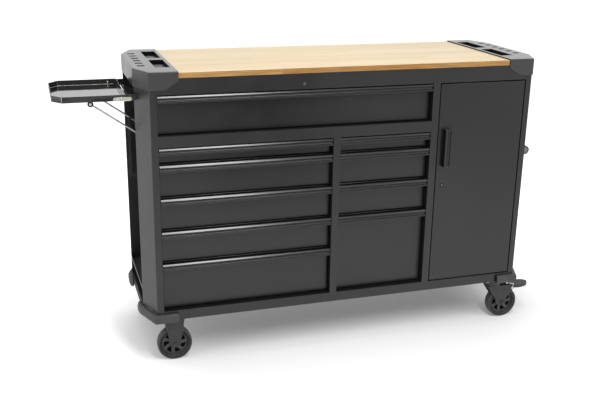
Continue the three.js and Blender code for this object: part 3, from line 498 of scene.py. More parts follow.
# Cabinet shell: bent sheets get soft bends, and the reveals of the openings are painted almost black as
# painted shade
REVEAL_DEPTH = 30.0
OPENINGS_TOP = 975.0
BEND = 2.4


def post_edge(point, edge):
    """Whether an edge is the long bend between a post's front and side."""
    return abs(abs(point.x) - HALF_FRONT) < NEAR and rise(edge) > 500.0


def between_posts(point):
    """Whether a point lies on the front between the two posts' bends."""
    return abs(point.x) < HALF_FRONT - 5.0


def in_opening(point, face):
    """Whether a face lines a drawer's or the door's opening."""
    across = abs(face.normal.y) < 0.5 and 1.0 < point.y < REVEAL_DEPTH
    return across and between_posts(point) and point.z < OPENINGS_TOP


bm = copy_of("front_frame")
round_edges(bm, BEND, 3, lambda p, e: post_edge(p, e) and p.y < NEAR)
round_edges(bm, 0.5, 2, lambda p, e: between_posts(p) and p.y < 2 * NEAR)
paint(bm, in_opening)
dress("front_frame", bm, [POST, SHADE_SATIN])

bm = copy_of("back_panel")
round_edges(bm, BEND, 3, lambda p, e: post_edge(p, e) and p.y > BODY_DEPTH - 1.0)
dress("back_panel", bm, [POST])

# Base pan: its two ends, between the casters, painted almost black as painted shade
BASE_ENDS_X = 600.0
CASTER_SPACE = 100.0
bm = copy_of("base_frame")
round_edges(bm, 1.6, 2, lambda p, e: p.z < FRAME_BOTTOM + NEAR or p.y < NEAR or p.y > BODY_DEPTH - NEAR)
paint(bm, lambda p, face: abs(p.x) > BASE_ENDS_X and abs(p.y - MIDDLE_Y) < MIDDLE_Y - CASTER_SPACE)
dress("base_frame", bm, [COAT, SHADE_SATIN])

# Door: rolled at its upright edges
DOOR_BOTTOM = 208.0
DOOR_TOP = 968.0
bm = copy_of("door")
round_edges(bm, 1.6, 3, lambda p, e: p.y < NEAR and DOOR_BOTTOM < p.z < DOOR_TOP)
dress("door", bm, [COAT])

# Drawer fronts: folded sheet with a soft fold
DRAWER_FACE_Y = 25.0
for node in [name for name in starting_with("drawer_") if not name.endswith(("_handle", "_lock"))]:
    bm = copy_of(node)
    round_edges(bm, 1.2, 2, lambda p, e: abs(p.y - DRAWER_FACE_Y) < NEAR)
    dress(node, bm, [COAT])

# Worktop: eased edges, and the sides painted darker and warmer than the face as painted shade
bm = copy_of("worktop")
bevel(bm, bm.edges[:], 1.8, 3)
paint(bm, lambda p, face: face.normal.z < 0.55)
dress("worktop", bm, [WOOD_LIT_FACE, WOOD_SHADED_SIDE])

# End caps: crisp moulded edges, tray recesses whose floors are painted pale as painted light, and six tool
# slots painted black as painted shade
FIRST_SLOT_Y = 134.0
SLOT_PITCH = 53.4
SLOTS = 6
SLOT_WIDENING = 4.5
SLOT_ENDS_X = (693.0, 720.0)
SLOT_WALLS = (3.0, 7.5)
# Where the recesses and slots lie: from the cabinet's middle, behind its front, and below the cap's top
HOLLOWS_X = (610.0, 722.0)
HOLLOWS_Y = (75.0, 460.0)
HOLLOWS_DEPTH = (1.2, 20.0)
RECESS_END_X = 690.0
CAP_INNER_END = 606.0
CAP_TOP, CAP_RECESS, CAP_SHADE, CAP_SIDE = range(4)


def widen_slots(bm):
    """Moves the long walls of the tool slots apart."""
    for vert in bm.verts:
        spot = in_cabinet(vert.co)
        slot = round((spot.y - FIRST_SLOT_Y) / SLOT_PITCH)
        off = spot.y - FIRST_SLOT_Y - slot * SLOT_PITCH
        if within(abs(spot.x), SLOT_ENDS_X) and 0 <= slot < SLOTS and within(abs(off), SLOT_WALLS):
            vert.co.y += math.copysign(SLOT_WIDENING * MM, off)


def cap_finish(spot, face, top):
    """Smooth top, recess floors painted pale as painted light, slots and inner end painted black as painted
    shade, grained front and rear.
    """
    if abs(spot.x) < CAP_INNER_END and abs(face.normal.x) > 0.7:
        return CAP_SHADE
    sunk = within(top - spot.z, HOLLOWS_DEPTH)
    if sunk and within(spot.y, HOLLOWS_Y) and within(abs(spot.x), HOLLOWS_X):
        return CAP_RECESS if face.normal.z > 0.9 and abs(spot.x) <= RECESS_END_X else CAP_SHADE
    return CAP_SIDE if abs(face.normal.y) > 0.3 else CAP_TOP


for node in ("cap_left", "cap_right"):
    cap_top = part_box(node)[1].z / MM
    bm = copy_of(node)
    round_edges(bm, 0.7, 2)
    widen_slots(bm)
    paint(bm, lambda p, face: cap_finish(p, face, cap_top))
    dress(node, bm, [ABS, ABS_PALE_LIT, SHADE_BLACK, ABS_GRAIN])

# Corner bumpers: their inner corners are well rounded, and their end faces where they meet the base pan are
# painted black as a painted shadow
BUMPER_CORNER = 238.0
BUMPER_JOINT = 252.0
for node in starting_with("bumper_"):
    inward = -1.0 if node.endswith("right") else 1.0
    bm = copy_of(node)
    round_edges(bm, 8.0, 4, lambda p, e: abs(p.y - MIDDLE_Y) > BUMPER_CORNER
                and any(face.normal.x * inward > 0.9 for face in e.link_faces), least=60.0)
    paint(bm, lambda p, face: face.normal.x * inward > 0.9 and abs(p.y - MIDDLE_Y) > BUMPER_JOINT)
    dress(node, bm, [BUMPER, SHADE_BLACK])

# Caster forks: pressed steel with soft edges; the swivel forks' feet are cut close behind the axle
FOOT_X = 697.0
FOOT_TOP = 84.0
FOOT_CUT = 0.8
for node in starting_with("caster_fork_"):
    bm = copy_of(node)
    for vert in bm.verts:
        behind = in_cabinet(vert.co).x - FOOT_X
        if node.endswith("right") and behind > 0.0 and vert.co.z < FOOT_TOP * MM:
            vert.co.x -= behind * FOOT_CUT * MM
    round_edges(bm, 0.8, 2, least=40.0)
    dress(node, bm, [CASTER])

# Brake pedals: half the width between and over a fork's cheeks, and the place of the pedals' pin
HALF_HUB = 17.5
HALF_FORK = 21.0
PIN_X = 723.0
PIN_Z = 122.1
BORE = 2.8
PEDAL_REACH = 76.0


def pedal(node):
    """A brake pedal: a leaf-shaped tread, dished on top, on a bored hub."""
    low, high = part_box(node)
    y = in_cabinet((low + high) / 2).y
    half_hub = [(BORE, HALF_HUB), (5.4, HALF_HUB), (6.0, HALF_HUB - 0.6)]
    bm = turned([*mirrored(half_hub), (BORE, -HALF_HUB)], place(PIN_X, y, PIN_Z), steps=20)
    # The leaf's plan: one side outwards from the pin, its round tip, and the other side back
    side = [(4.6, 13.0), (12.0, 16.5), (24.0, 20.5), (34.0, 22.0)]
    tip = [(42.0 + 34.0 * math.sin(turn), -22.0 * math.cos(turn))
           for turn in [math.radians(15.0 * i) for i in range(13)]]
    plan = [(dx, -dy) for dx, dy in side] + tip + side[::-1]
    verts = [bm.verts.new(place(PIN_X + dx, y + dy, PIN_Z - 4.0 + 5.0 * dx / PEDAL_REACH))
             for dx, dy in plan]
    drawn = bmesh.ops.extrude_face_region(bm, geom=[bm.faces.new(verts)])["geom"]
    for vert in [part for part in drawn if isinstance(part, bmesh.types.BMVert)]:
        dx = in_cabinet(vert.co).x - PIN_X
        vert.co.z += (9.0 + 6.0 * math.sin(math.pi * min(dx / 100.0, 1.0))) * MM
    tread = [part for part in drawn if isinstance(part, bmesh.types.BMFace)]
    inset(bm, tread, 3.0)
    inset(bm, tread, 1.0, -1.2)
    bmesh.ops.recalc_face_normals(bm, faces=bm.faces)
    round_edges(bm, 0.8, 2, least=55.0)
    dress(node, bm, [CASTER])


for node in starting_with("brake_pedal_"):
    pedal(node)


def pedal_spring(row):
    """A torsion spring on a pedal's pin, held by a riveted head."""
    y = CASTER_Y[row] - HALF_FORK
    pin = place(PIN_X, y, PIN_Z)
    rivet = [(0.0, -5.8), (2.6, -5.8), (3.6, -5.2), (3.9, -4.4), (3.9, -4.0), (0.0, -4.0)]
    bm = turned(rivet, pin, steps=20)
    for along in (-1.2, -3.0):
        coil = [(4.6 + 0.9 * math.cos(math.tau * i / 8), along + 0.9 * math.sin(math.tau * i / 8))
                for i in range(9)]
        merge_in(bm, turned(coil, pin, steps=20))
    knee = place(727.0, y - 2.0, 141.0)
    rod(bm, place(724.0, y - 3.0, 127.0), knee, 1.5, 8)
    rod(bm, knee, place(709.0, y - 2.0, 144.0), 1.5, 8)
    rod(bm, place(697.0, y + 1.0, 146.0), place(697.0, y - 2.4, 146.0), 3.2, 12)
    where = row + "_right"
    add_piece(bm, "pedal_spring_" + where, "caster_" + where, [ZINC])


pedal_spring("front")
pedal_spring("rear")


def hex_heads(name, body, spots, turn, across, thick, material):
    """Hexagon heads with a turned bearing face, which lies to each spot's given side, in one mesh."""
    bm = bmesh.new()
    for spot, side in spots:
        corner = across / 1.732
        head = add_cone(bm, Matrix.Translation(spot) @ turn, 6, corner, corner, thick)
        bearing = Matrix.Translation(spot + side * thick * 0.35 * MM) @ turn
        flange = add_cone(bm, bearing, 20, across * 0.68, across * 0.68, thick * 0.3)
        bevel(bm, edges_of(head + flange), 0.5)
    add_piece(bm, name, body, [material])


# Casters' axle nuts, and the bolts that hold the plates to the base
NUT_ACROSS, NUT_THICK = 15.0, 4.6
BOLT_ACROSS, BOLT_THICK = 10.0, 4.4
HALF_AXLE = 23.4
PLATE_X = {"left": -637.0, "right": 645.0}
PLATE_BOLTS_X = 43.0
PLATE_BOLTS_Y = 33.0
PLATE_BOLTS_Z = 165.6
upright = Matrix.Identity(4)
along_y = Matrix.Rotation(math.radians(90.0), 4, "X")
half_axle = Vector((0.0, HALF_AXLE * MM, 0.0))
for where in ("front_left", "rear_left", "front_right", "rear_right"):
    row, end = where.split("_")
    low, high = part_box("caster_wheel_" + where)
    spots = [((low + high) / 2 - half_axle * side, Vector((0.0, side, 0.0))) for side in (1.0, -1.0)]
    body = "cabinet" if end == "left" else "caster_" + where
    hex_heads("axle_nuts_" + where, body, spots, along_y, NUT_ACROSS, NUT_THICK, CASTER)
    spots = [(place(PLATE_X[end] + dx, CASTER_Y[row] + dy, PLATE_BOLTS_Z), Vector((0.0, 0.0, 1.0)))
             for dx in (-PLATE_BOLTS_X, PLATE_BOLTS_X) for dy in (-PLATE_BOLTS_Y, PLATE_BOLTS_Y)]
    hex_heads("plate_bolts_" + where, "cabinet", spots, upright, BOLT_ACROSS, BOLT_THICK, ZINC)

# Wheels: a moulded tread on a rim with seven comma-shaped windows in each face, the windows painted black as
# painted shade
HALF_WEB = 5.0
HUB_RADIUS = 15.0
RIM_RADIUS = 45.0
WINDOWS = 7
COLUMNS = 8
WINDOW_DEPTH = 3.8
WINDOW_LEDGE = 0.25
RIM_GROOVE = (46.9, 48.3)
CHEEK_GROOVE = (52.3, 54.6)
TREAD_FROM = 47.9
WHEEL_TREAD, WHEEL_RIM, WHEEL_SHADE = range(3)
# Radii of the rings of a window's grid, how far each ring leans and how wide its opening is
RINGS = [HUB_RADIUS, 18.5, 22.5, 27.0, 31.5, 36.0, 40.0, RIM_RADIUS]
LEAN = [0.0, -0.30, -0.22, -0.11, 0.02, 0.16, 0.26, 0.0]
SHARE = [1.0, 0.42, 0.74, 1.02, 1.2, 1.22, 1.0, 1.0]
LAST_RING = len(RINGS) - 1


def wheel_rounds(bm, centre, radius):
    """The tyre, with a groove at the rim and one in its cheek, and the hub, both open at the web; the
    grooves are painted black as painted shade.
    """
    half_tyre = [
        (RIM_RADIUS, HALF_WEB), (46.0, 11.0), (46.8, 11.6), (47.4, 10.4), (48.4, 10.4), (49.0, 13.4),
        (50.2, 14.8), (52.2, 15.3), (52.5, 13.8), (54.3, 13.8), (54.7, 15.75), (58.0, 16.0), (61.2, 14.6),
        (radius - 0.3, 11.8), (radius, 6.0),
    ]
    half_hub = [(HUB_RADIUS, HALF_WEB), (14.6, 14.8), (13.6, 16.0), (6.4, 16.0), (5.3, 15.0)]
    for half in (half_tyre, half_hub):
        spin_profile(bm, mirrored(half), centre, WINDOWS * COLUMNS)
    for face in bm.faces:
        spot = face.calc_center_median() - centre
        reach = math.hypot(spot.x, spot.z) / MM
        grooved = any(start < reach < end for start, end in (RIM_GROOVE, CHEEK_GROOVE))
        if grooved and abs(spot.y) > 10.0 * MM:
            face.material_index = WHEEL_SHADE
        else:
            face.material_index = WHEEL_RIM if reach < TREAD_FROM else WHEEL_TREAD


def bend_grid(verts, centre, side, sector):
    """Bends a flat grid round the hub, so that its inner columns follow the window's comma shape."""
    for vert in verts:
        column = round((vert.co.x + 0.5) * COLUMNS)
        ring = round((vert.co.y + 0.5) * LAST_RING)
        across = (column / COLUMNS - 0.5) * 2.0
        bend = abs(across)
        if 0 < ring < LAST_RING:
            share = SHARE[ring]
            bend = bend * share if bend <= 0.5 else 0.5 * share + (bend - 0.5) * (2.0 - share)
            across = math.copysign(bend, across) + LEAN[ring] * (1.0 - bend)
        angle = (sector + 0.5 + across / 2.0) * math.tau / WINDOWS
        spot = Vector((RINGS[ring] * math.cos(angle), side * HALF_WEB, RINGS[ring] * math.sin(angle)))
        vert.co = centre + spot * MM


def in_window(face, centre):
    """Whether a face of the bent grid lies inside the comma-shaped opening."""
    spot = face.calc_center_median() - centre
    reach = math.hypot(spot.x, spot.z) / MM
    turn = (math.atan2(spot.z, spot.x) / math.tau * WINDOWS) % 1.0
    ring = sum(reach > edge for edge in RINGS) - 1
    beside = [max(0, min(ring + i, LAST_RING)) for i in (0, 1)]
    lean = sum(LEAN[i] for i in beside) / 4.0
    width = sum(SHARE[i] for i in beside) / 2.0
    return 1 <= ring <= LAST_RING - 2 and abs(turn - 0.5 - lean) < 0.26 * width


def wheel(node):
    """A whole wheel: tyre and hub, and on each side a web of bent grids with sunk windows."""
    low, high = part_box(node)
    centre = (low + high) / 2
    bm = bmesh.new()
    wheel_rounds(bm, centre, (high.z - low.z) / 2 / MM)
    for side in (-1.0, 1.0):
        for sector in range(WINDOWS):
            grid = bmesh.ops.create_grid(bm, x_segments=COLUMNS, y_segments=LAST_RING, size=0.5)["verts"]
            bend_grid(grid, centre, side, sector)
            faces = faces_of(grid)
            opened = [face for face in faces if in_window(face, centre)]
            for face in faces:
                face.material_index = WHEEL_RIM
            inset(bm, opened, WINDOW_LEDGE)
            for face in opened:
                face.material_index = WHEEL_SHADE
            verts = list(dict.fromkeys(vert for face in opened for vert in face.verts))
            bmesh.ops.translate(bm, verts=verts, vec=(0.0, -side * WINDOW_DEPTH * MM, 0.0))
    bmesh.ops.remove_doubles(bm, verts=bm.verts, dist=0.02 * MM)
    bmesh.ops.recalc_face_normals(bm, faces=bm.faces)
    dress(node, bm, [TREAD, RIM, SHADE_BLACK])


for node in starting_with("caster_wheel_"):
    wheel(node)

# Handle strips: one drawn section with a sloped lip and a finger groove, closed by end plates
END_PLATE = 1.4
GROOVE_TOP = 9.0
GROOVE_BOTTOM = 20.6
# The arcs of the lip's face and of the groove: middle, radius, first and last angle, steps
LIP_ARC = (25.37, -19.87, 28.0, 140.0, 154.0, 8)
GROOVE_ARC = (0.25, -14.85, 5.9, 73.74, -73.74, 12)
STRIP_LIP, STRIP_GROOVE, STRIP_FOOT, STRIP_END, STRIP_SHADE = range(5)


def arc(middle_x, middle_y, radius, start, end, count):
    """Points on a circle, from one angle in degrees to another."""
    turns = [math.radians(start + (end - start) * i / count) for i in range(count + 1)]
    return [(middle_x + radius * math.cos(turn), middle_y + radius * math.sin(turn)) for turn in turns]


def handle_section(depth):
    """The strip's outline: distance behind its front and height under its top, in millimetres."""
    lip = [(depth, -1.2), (5.2, -1.2), (4.4, -1.4), *arc(*LIP_ARC)]
    nose = [(0.0, -8.1), (0.0, -8.7), (0.4, -9.1), (1.1, -9.3)]
    groove = arc(*GROOVE_ARC)
    foot = [(1.1, -20.5), (0.4, -20.9), (0.0, -21.5), (0.0, -25.6), (0.5, -26.5), (1.4, -27.0)]
    return [*lip, *nose, *groove, *foot, (depth, -27.0)]


def handle_strip(node):
    """A strip along X that hangs under its top, or the door's along Z that hangs beside its left edge."""
    low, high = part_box(node)
    upright = node == "door_handle"
    section = handle_section((high.y - low.y) / MM)
    bm = bmesh.new()
    if upright:
        verts = [bm.verts.new((low.x - down * MM, low.y + back * MM, low.z)) for back, down in section]
        along = Vector((0.0, 0.0, high.z - low.z))
        start, end = low.z, high.z
    else:
        verts = [bm.verts.new((low.x, low.y + back * MM, high.z + down * MM)) for back, down in section]
        along = Vector((high.x - low.x, 0.0, 0.0))
        start, end = low.x, high.x
    drawn = bmesh.ops.extrude_face_region(bm, geom=[bm.faces.new(verts)])["geom"]
    far_end = [part for part in drawn if isinstance(part, bmesh.types.BMVert)]
    bmesh.ops.translate(bm, verts=far_end, vec=along)
    direction = along.normalized()
    for cut in (start + END_PLATE * MM, end - END_PLATE * MM):
        bmesh.ops.bisect_plane(bm, geom=bm.verts[:] + bm.edges[:] + bm.faces[:], plane_co=direction * cut,
                               plane_no=direction)
    bmesh.ops.recalc_face_normals(bm, faces=bm.faces)
    for face in bm.faces:
        middle = face.calc_center_median()
        spot = middle.dot(direction)
        down = ((middle.x - low.x) if upright else (high.z - middle.z)) / MM
        # The door handle's left side is painted black as painted shade
        if upright and face.normal.x < -0.95:
            face.material_index = STRIP_SHADE
        elif spot < start + END_PLATE * MM or spot > end - END_PLATE * MM:
            face.material_index = STRIP_END
        elif down > GROOVE_TOP:
            face.material_index = STRIP_GROOVE if down < GROOVE_BOTTOM else STRIP_FOOT
    round_edges(bm, 0.5, 2, least=80.0)
    dress(node, bm, [COAT if upright else GRIP, GROOVE, COAT, ABS, SHADE_BLACK])


for node in [name for name in nodes if name.endswith("_handle")]:
    handle_strip(node)


# Locks
LOCK_HEAD = 7.0
PLUG_RADIUS = 3.45
KEYHOLE = (0.9, 0.7, 4.4)
CAM_WIDTH, CAM_THICK, CAM_RISE = 10.0, 2.0, 5.0
LOCK_PLUG, LOCK_BEZEL, LOCK_KEYHOLE_SHADE = range(3)


def cam_lock(node, bezel):
    """A lock: a dark pressed bezel round a bright plug, its key slot a black block of painted shade, and the
    cam behind.
    """
    low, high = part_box(node)
    head = Vector(((low.x + high.x) / 2, FRONT_Y, high.z - LOCK_HEAD * MM))
    shank_end = (high.y - head.y) / MM - 2.0
    bm = turned([
        (0.0, -1.2), (3.0, -1.2), (3.4, -1.0), (3.5, -0.6), (3.9, -0.5), (4.6, -1.3), (5.2, -1.5),
        (6.2, -1.3), (6.8, -0.9), (LOCK_HEAD, -0.3), (5.0, -0.3), (5.0, shank_end), (0.0, shank_end),
    ], head)
    for face in bm.faces:
        spot = face.calc_center_median() - head
        on_bezel = math.hypot(spot.x, spot.z) > PLUG_RADIUS * MM and spot.y < 0.0
        face.material_index = LOCK_BEZEL if on_bezel else LOCK_PLUG
    for face in faces_of(add_block(bm, head + Vector((0.0, -0.9, 0.0)) * MM, KEYHOLE)):
        face.material_index = LOCK_KEYHOLE_SHADE
    cam_top = head.z + CAM_RISE * MM
    cam_centre = Vector((head.x, high.y - CAM_THICK / 2 * MM, (low.z + cam_top) / 2))
    cam = add_block(bm, cam_centre, (CAM_WIDTH, CAM_THICK, (cam_top - low.z) / MM))
    bevel(bm, edges_of(cam), 0.5)
    dress(node, bm, [PLUG, bezel, SHADE_BLACK])


# The door lock's bezel is painted black as painted shade; the drawer lock's keeps the caster coat
cam_lock("door_lock", SHADE_BLACK)
cam_lock("drawer_lock", CASTER)

# Push bar: a tube between two moulded end discs with a raised rim; the rim is painted near black as painted
# shade, the disc pale as painted light
END_DEPTH = 5.05
DISC_RADIUS = 12.6
BAR_TUBE, BAR_RIM, BAR_DISC = range(3)
low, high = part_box("push_bar")
bar_middle = (low + high) / 2
bar_end = (high.y - low.y) / 2 / MM
half_bar = [(radius, bar_end - back) for radius, back in (
    (0.0, 1.6), (4.0, 1.6), (12.4, 1.2), (13.2, 0.2), (14.6, 0.0), (15.8, 0.5), (16.5, 1.6), (16.5, 4.6),
    (16.1, 5.0), (15.0, 5.1),
)]
bm = turned(mirrored(half_bar), bar_middle)
for face in bm.faces:
    spot = face.calc_center_median() - bar_middle
    if abs(spot.y) > (bar_end - END_DEPTH) * MM:
        face.material_index = BAR_DISC if math.hypot(spot.x, spot.z) < DISC_RADIUS * MM else BAR_RIM
dress("push_bar", bm, [GRIP, SHADE_SATIN, ABS_PALE_LIT])
dress_softly("push_bracket_front", 1.0, CASTER)
dress_softly("push_bracket_rear", 1.0, CASTER)

# Side tray: thin dark rims round a glossy floor and a glossy inner end wall
# Depths below the rim's top, in millimetres
TRAY_FLOOR_DEPTH = 19.5
FOLD_DEPTHS = (15.0, 20.0)
CORNER_WIDTH = 0.8
TRAY_RIM, TRAY_GLOSS, TRAY_FOLD_HIGHLIGHT, TRAY_CORNER_HIGHLIGHT = range(4)
tray_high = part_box("side_tray")[1]
rim_top = tray_high.z / MM
tray_inner_end = in_cabinet(tray_high).x
bm = copy_of("side_tray")
paint(bm, lambda p, face: face.normal.z > 0.9 and within(rim_top - p.z, (10.0, TRAY_FLOOR_DEPTH)))
round_edges(bm, 0.4, 2, lambda p, e: p.z > rim_top - 2 * NEAR)
round_edges(bm, 1.0, 2, lambda p, e: rise(e) > 5.0)
round_edges(bm, 1.3, 1, lambda p, e: within(rim_top - p.z, (17.0, TRAY_FLOOR_DEPTH)))


def tray_finish(spot, face):
    """The floor as painted before its edges were rounded, with painted highlights on the folds and corners
    in zinc and bright zinc.
    """
    tall = (max(vert.co.z for vert in face.verts) - min(vert.co.z for vert in face.verts)) / MM
    narrow = tall > 5.0 and face.calc_area() < CORNER_WIDTH * MM * tall * MM
    if abs(face.normal.z) < 0.05 and narrow:
        return TRAY_CORNER_HIGHLIGHT
    if face.normal.x < -0.95 and spot.x > tray_inner_end - 30.0 and spot.z < rim_top - 1.0:
        return TRAY_GLOSS
    if 0.3 < face.normal.z < 0.9 and within(rim_top - spot.z, FOLD_DEPTHS):
        return TRAY_FOLD_HIGHLIGHT
    return face.material_index


paint(bm, tray_finish)
dress("side_tray", bm, [COAT, TRAY_FLOOR, ZINC, BRIGHT])

# Black ears and a zinc leaf carry the tray's inner end over the hinge rod
INNER_FRONT = 85.5
INNER_REAR = 389.5
bm = bmesh.new()
for y in (INNER_FRONT + 0.8, INNER_REAR - 0.8):
    add_block(bm, place(-752.5, y, 952.0), (43.0, 1.4, 18.0))
bevel(bm, bm.edges[:], 0.4)
add_piece(bm, "tray_hinge_ears", "tray", [COAT])
bm = bmesh.new()
add_block(bm, place(-748.5, 152.5, 942.4), (29.0, 70.0, 1.6))
bevel(bm, bm.edges[:], 0.4)
add_piece(bm, "tray_hinge_leaf", "tray", [BRIGHT])


def round_heads(name, body, spots, facing, radius, height, material):
    """Pan-head screws or rivets with a driven recess, all in one mesh."""
    bm = bmesh.new()
    facing = Vector(facing)
    for spot in spots:
        matrix = Matrix.Translation(spot + facing * height * MM / 2) @ aimed(facing)
        faces = faces_of(add_cone(bm, matrix, 20, radius, radius * 0.72, height))
        crown = max(faces, key=lambda face: face.calc_center_median().dot(facing))
        inset(bm, [crown], radius * 0.42)
        bmesh.ops.translate(bm, verts=crown.verts[:], vec=-facing * height * 0.4 * MM)
    add_piece(bm, name, body, [material], sharp=40.0)


# Screws in the tray's rear rim, its two zinc arms, and the rivets in the front one
FORWARD = (0.0, -1.0, 0.0)
BACKWARD = (0.0, 1.0, 0.0)
rim_screws = [place(-975.0, INNER_REAR, 951.0), place(-794.3, INNER_REAR, 953.0)]
ear_screws = [place(-760.3, INNER_REAR - 1.5, 954.0), place(-738.6, INNER_REAR - 1.5, 950.0)]
round_heads("tray_screws_rear", "tray", rim_screws + ear_screws, FORWARD, 3.0, 1.6, BRIGHT)
dress_softly("tray_arm_front", 0.5, ZINC)
dress_softly("tray_arm_rear", 0.5, ZINC)
arm_low, arm_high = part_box("tray_arm_front")
arm_z = (arm_low.z + arm_high.z) / 2
rivets = [Vector((arm_low.x + dx * MM, arm_low.y, arm_z)) for dx in (7.0, 22.0, 37.0)]
round_heads("tray_arm_rivets", "tray", rivets, FORWARD, 3.4, 1.8, STEEL)

# A push nut caps the hinge rod where it comes through the front arm
rod_end = place(-752.0, 0.0, 948.5)
rod_end.y = arm_low.y
rod_length = (arm_low.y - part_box("tray_bracket")[0].y) / MM
round_heads("tray_rod_nut", "tray", [rod_end], FORWARD, 4.4, rod_length * 1.8, ZINC)
# The tray's bracket is painted almost black as painted shade
dress_softly("tray_bracket", 0.5, SHADE_SATIN)

# Stay: two bright rods with their eyes at the tray and a cross rod below, in millimetres
EYE_X, EYE_Z = -879.0, 932.5
CROSS_X, CROSS_Z = -707.0, 810.5
STAY_FRONT_Y = 103.5
STAY_REAR_Y = 371.5
EYE_LENGTH = 6.1
STAY_RADIUS = 3.0
bm = bmesh.new()
for y in (STAY_FRONT_Y, STAY_REAR_Y):
    eye = place(EYE_X, y, EYE_Z)
    foot = place(CROSS_X, y, CROSS_Z)
    rod(bm, eye, foot, STAY_RADIUS)
    for knuckle in (eye, foot):
        bmesh.ops.create_uvsphere(bm, u_segments=16, v_segments=10, radius=STAY_RADIUS * MM,
                                  matrix=Matrix.Translation(knuckle))
rod(bm, place(CROSS_X, STAY_FRONT_Y, CROSS_Z), place(CROSS_X, STAY_REAR_Y, CROSS_Z), 2.5)
for y, inward in ((STAY_FRONT_Y, EYE_LENGTH), (STAY_REAR_Y, -EYE_LENGTH)):
    rod(bm, place(EYE_X, y, EYE_Z), place(EYE_X, y + inward, EYE_Z), 2.0)
dress("tray_stay", bm, [STEEL])

# White pivot caps in rubber rings, and the collar at the lower end of the rear rod
half_washer = [(0.0, 1.6), (3.6, 1.6), (4.3, 1.2), (4.5, 0.7), (4.8, 1.0), (9.2, 1.0), (9.9, 0.4)]
for where, y in (("front", STAY_FRONT_Y - 2.9), ("rear", STAY_REAR_Y + 2.9)):
    centre = place(EYE_X, y, EYE_Z)
    bm = turned(mirrored(half_washer), centre, 28)
    for face in bm.faces:
        spot = face.calc_center_median() - centre
        face.material_index = int(math.hypot(spot.x, spot.z) > 4.6 * MM)
    add_piece(bm, "stay_washer_" + where, "stay", [WHITE_CAP, RUBBER_RING], sharp=40.0)
bm = turned([(0.0, -3.6), (2.6, -3.6), (3.6, -2.6), (4.2, 0.0), (3.6, 2.6), (2.6, 3.6), (0.0, 3.6)],
            place(-715.0, STAY_REAR_Y, 816.2), 28)
add_piece(bm, "stay_collar", "stay", [ZINC], sharp=40.0)

# Rivets of the back panel
RIVETS_X = (-640.0, -320.0, 0.0, 320.0, 640.0)
RIVETS_Z = (240.0, 560.0, 880.0, 995.0)
rivets = [place(x, BODY_DEPTH, z) for x in RIVETS_X for z in RIVETS_Z]
round_heads("back_rivets", "cabinet", rivets, BACKWARD, 4.0, 1.6, CASTER)

# Studio floor, room light and lamps
WHITE = linear("#ffffff")
FLOOR_GREY = linear("#efefef")
FLOOR_REACH = 30.0
# Just under the wheels, so that the floor and the tyres don't share a plane
FLOOR_Z = -0.0005
ROOM_LIGHT = 0.45


def studio_floor():
    """Matt white floor: it keeps the cart's soft shadow and fades to pure white away from it."""
    material, tree, shader, where = new_material("studio_floor", Base_Color=FLOOR_GREY, Roughness=0.9,
                                                 Specular_IOR_Level=0.2)
    path = add_node(tree, "ShaderNodeLightPath")
    oval = add_node(tree, "ShaderNodeVectorMath",
                    {"operation": "MULTIPLY_ADD", 1: (0.85, 1.0, 1.0), 2: (-0.17, 0.0, 0.0)}, {0: where})
    away = add_node(tree, "ShaderNodeVectorMath", {"operation": "LENGTH"}, {0: oval.outputs["Vector"]})
    fade = add_node(tree, "ShaderNodeMapRange", {
        "interpolation_type": "SMOOTHSTEP",
        "From Min": 0.6, "From Max": 1.07, "To Min": 0.13, "To Max": 0.75,
    }, {"Value": away.outputs["Value"]})
    split = add_node(tree, "ShaderNodeSeparateXYZ", links={"Vector": where})
    beside = add_node(tree, "ShaderNodeMapRange",
                      {"From Min": -4.2, "From Max": -1.4, "To Min": 0.9, "To Max": 0.28},
                      {"Value": split.outputs["X"]})
    mirrored_glow = add_node(tree, "ShaderNodeMath", {"operation": "MULTIPLY"},
                             {0: path.outputs["Is Glossy Ray"], 1: beside.outputs["Result"]})
    strength = add_node(tree, "ShaderNodeMath", {"operation": "MULTIPLY_ADD"}, {
        0: path.outputs["Is Camera Ray"], 1: fade.outputs["Result"], 2: mirrored_glow.outputs["Value"],
    })
    glow = add_node(tree, "ShaderNodeEmission", {"Color": WHITE}, {"Strength": strength.outputs["Value"]})
    both = add_node(tree, "ShaderNodeAddShader",
                    links={0: shader.outputs["BSDF"], 1: glow.outputs["Emission"]})
    tree.links.new(both.outputs["Shader"], tree.nodes["Material Output"].inputs["Surface"])
    return material


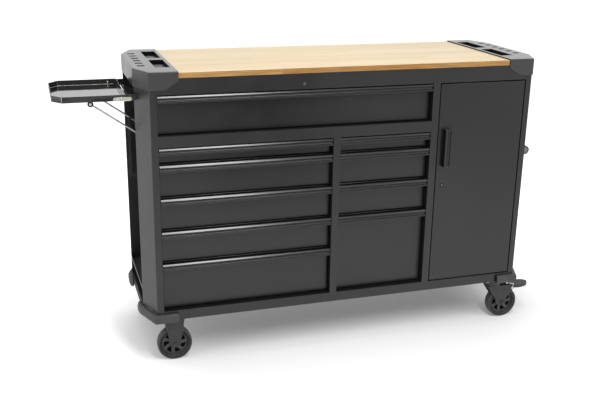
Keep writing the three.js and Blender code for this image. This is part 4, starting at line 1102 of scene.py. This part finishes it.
def studio_room():
    """An even white room, which mirrors and the camera see as plain white."""
    world = bpy.data.worlds.new("studio")
    world.use_nodes = True
    tree = world.node_tree
    tree.nodes.clear()
    path = add_node(tree, "ShaderNodeLightPath")
    seen = add_node(tree, "ShaderNodeMath", {"operation": "MAXIMUM"},
                    {0: path.outputs["Is Camera Ray"], 1: path.outputs["Is Glossy Ray"]})
    level = add_node(tree, "ShaderNodeMapRange", {"To Min": ROOM_LIGHT, "To Max": 1.0},
                     {"Value": seen.outputs["Value"]})
    back = add_node(tree, "ShaderNodeBackground", {"Color": WHITE}, {"Strength": level.outputs["Result"]})
    add_node(tree, "ShaderNodeOutputWorld", links={"Surface": back.outputs["Background"]})
    bpy.context.scene.world = world


def softbox(name, position, target, size, power):
    """A rectangular lamp that faces its target; lengths in metres, power in watts."""
    data = bpy.data.lights.new(name, "AREA")
    data.shape = "RECTANGLE"
    data.size, data.size_y = size
    data.energy = power
    aim = (Vector(target) - Vector(position)).to_track_quat("-Z", "Y")
    lamp = add_object(name, data)
    lamp.matrix_world = Matrix.Translation(Vector(position)) @ aim.to_matrix().to_4x4()


bm = bmesh.new()
grid = bmesh.ops.create_grid(bm, x_segments=1, y_segments=1, size=FLOOR_REACH)["verts"]
bmesh.ops.translate(bm, verts=grid, vec=(0.0, 0.0, FLOOR_Z))
mesh_object("floor", bm, [studio_floor()])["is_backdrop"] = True
studio_room()

# A black card that only the cart's gloss can see deepens the fronts that mirror it
CARD_CORNERS = [(0.1, -2.1, 0.02), (0.5, -2.1, 0.02), (2.3, -5.8, 2.8), (-0.8, -5.8, 2.8)]
bm = bmesh.new()
bm.faces.new([bm.verts.new(corner) for corner in CARD_CORNERS])
card = mesh_object("dark_flag", bm, [SHADE_BLACK])
card.visible_camera = False
card.visible_diffuse = False
card.visible_transmission = False
card.visible_shadow = False
card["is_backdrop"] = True

softbox("overhead", (0.0, 0.5, 3.4), (0.0, 0.1, 0.0), (3.4, 2.0), 47.0)
softbox("left_side", (-3.4, -0.7, 1.6), (0.0, 0.0, 0.7), (1.6, 2.8), 34.0)
softbox("key", (0.06, -1.9, 2.7), (-0.2, 0.0, 0.7), (0.62, 1.9), 54.0)
softbox("right_floor", (2.7, -2.4, 2.6), (2.4, -2.7, 0.0), (1.6, 1.6), 26.0)

bpy.context.scene.view_settings.view_transform = "Standard"

low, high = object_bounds()
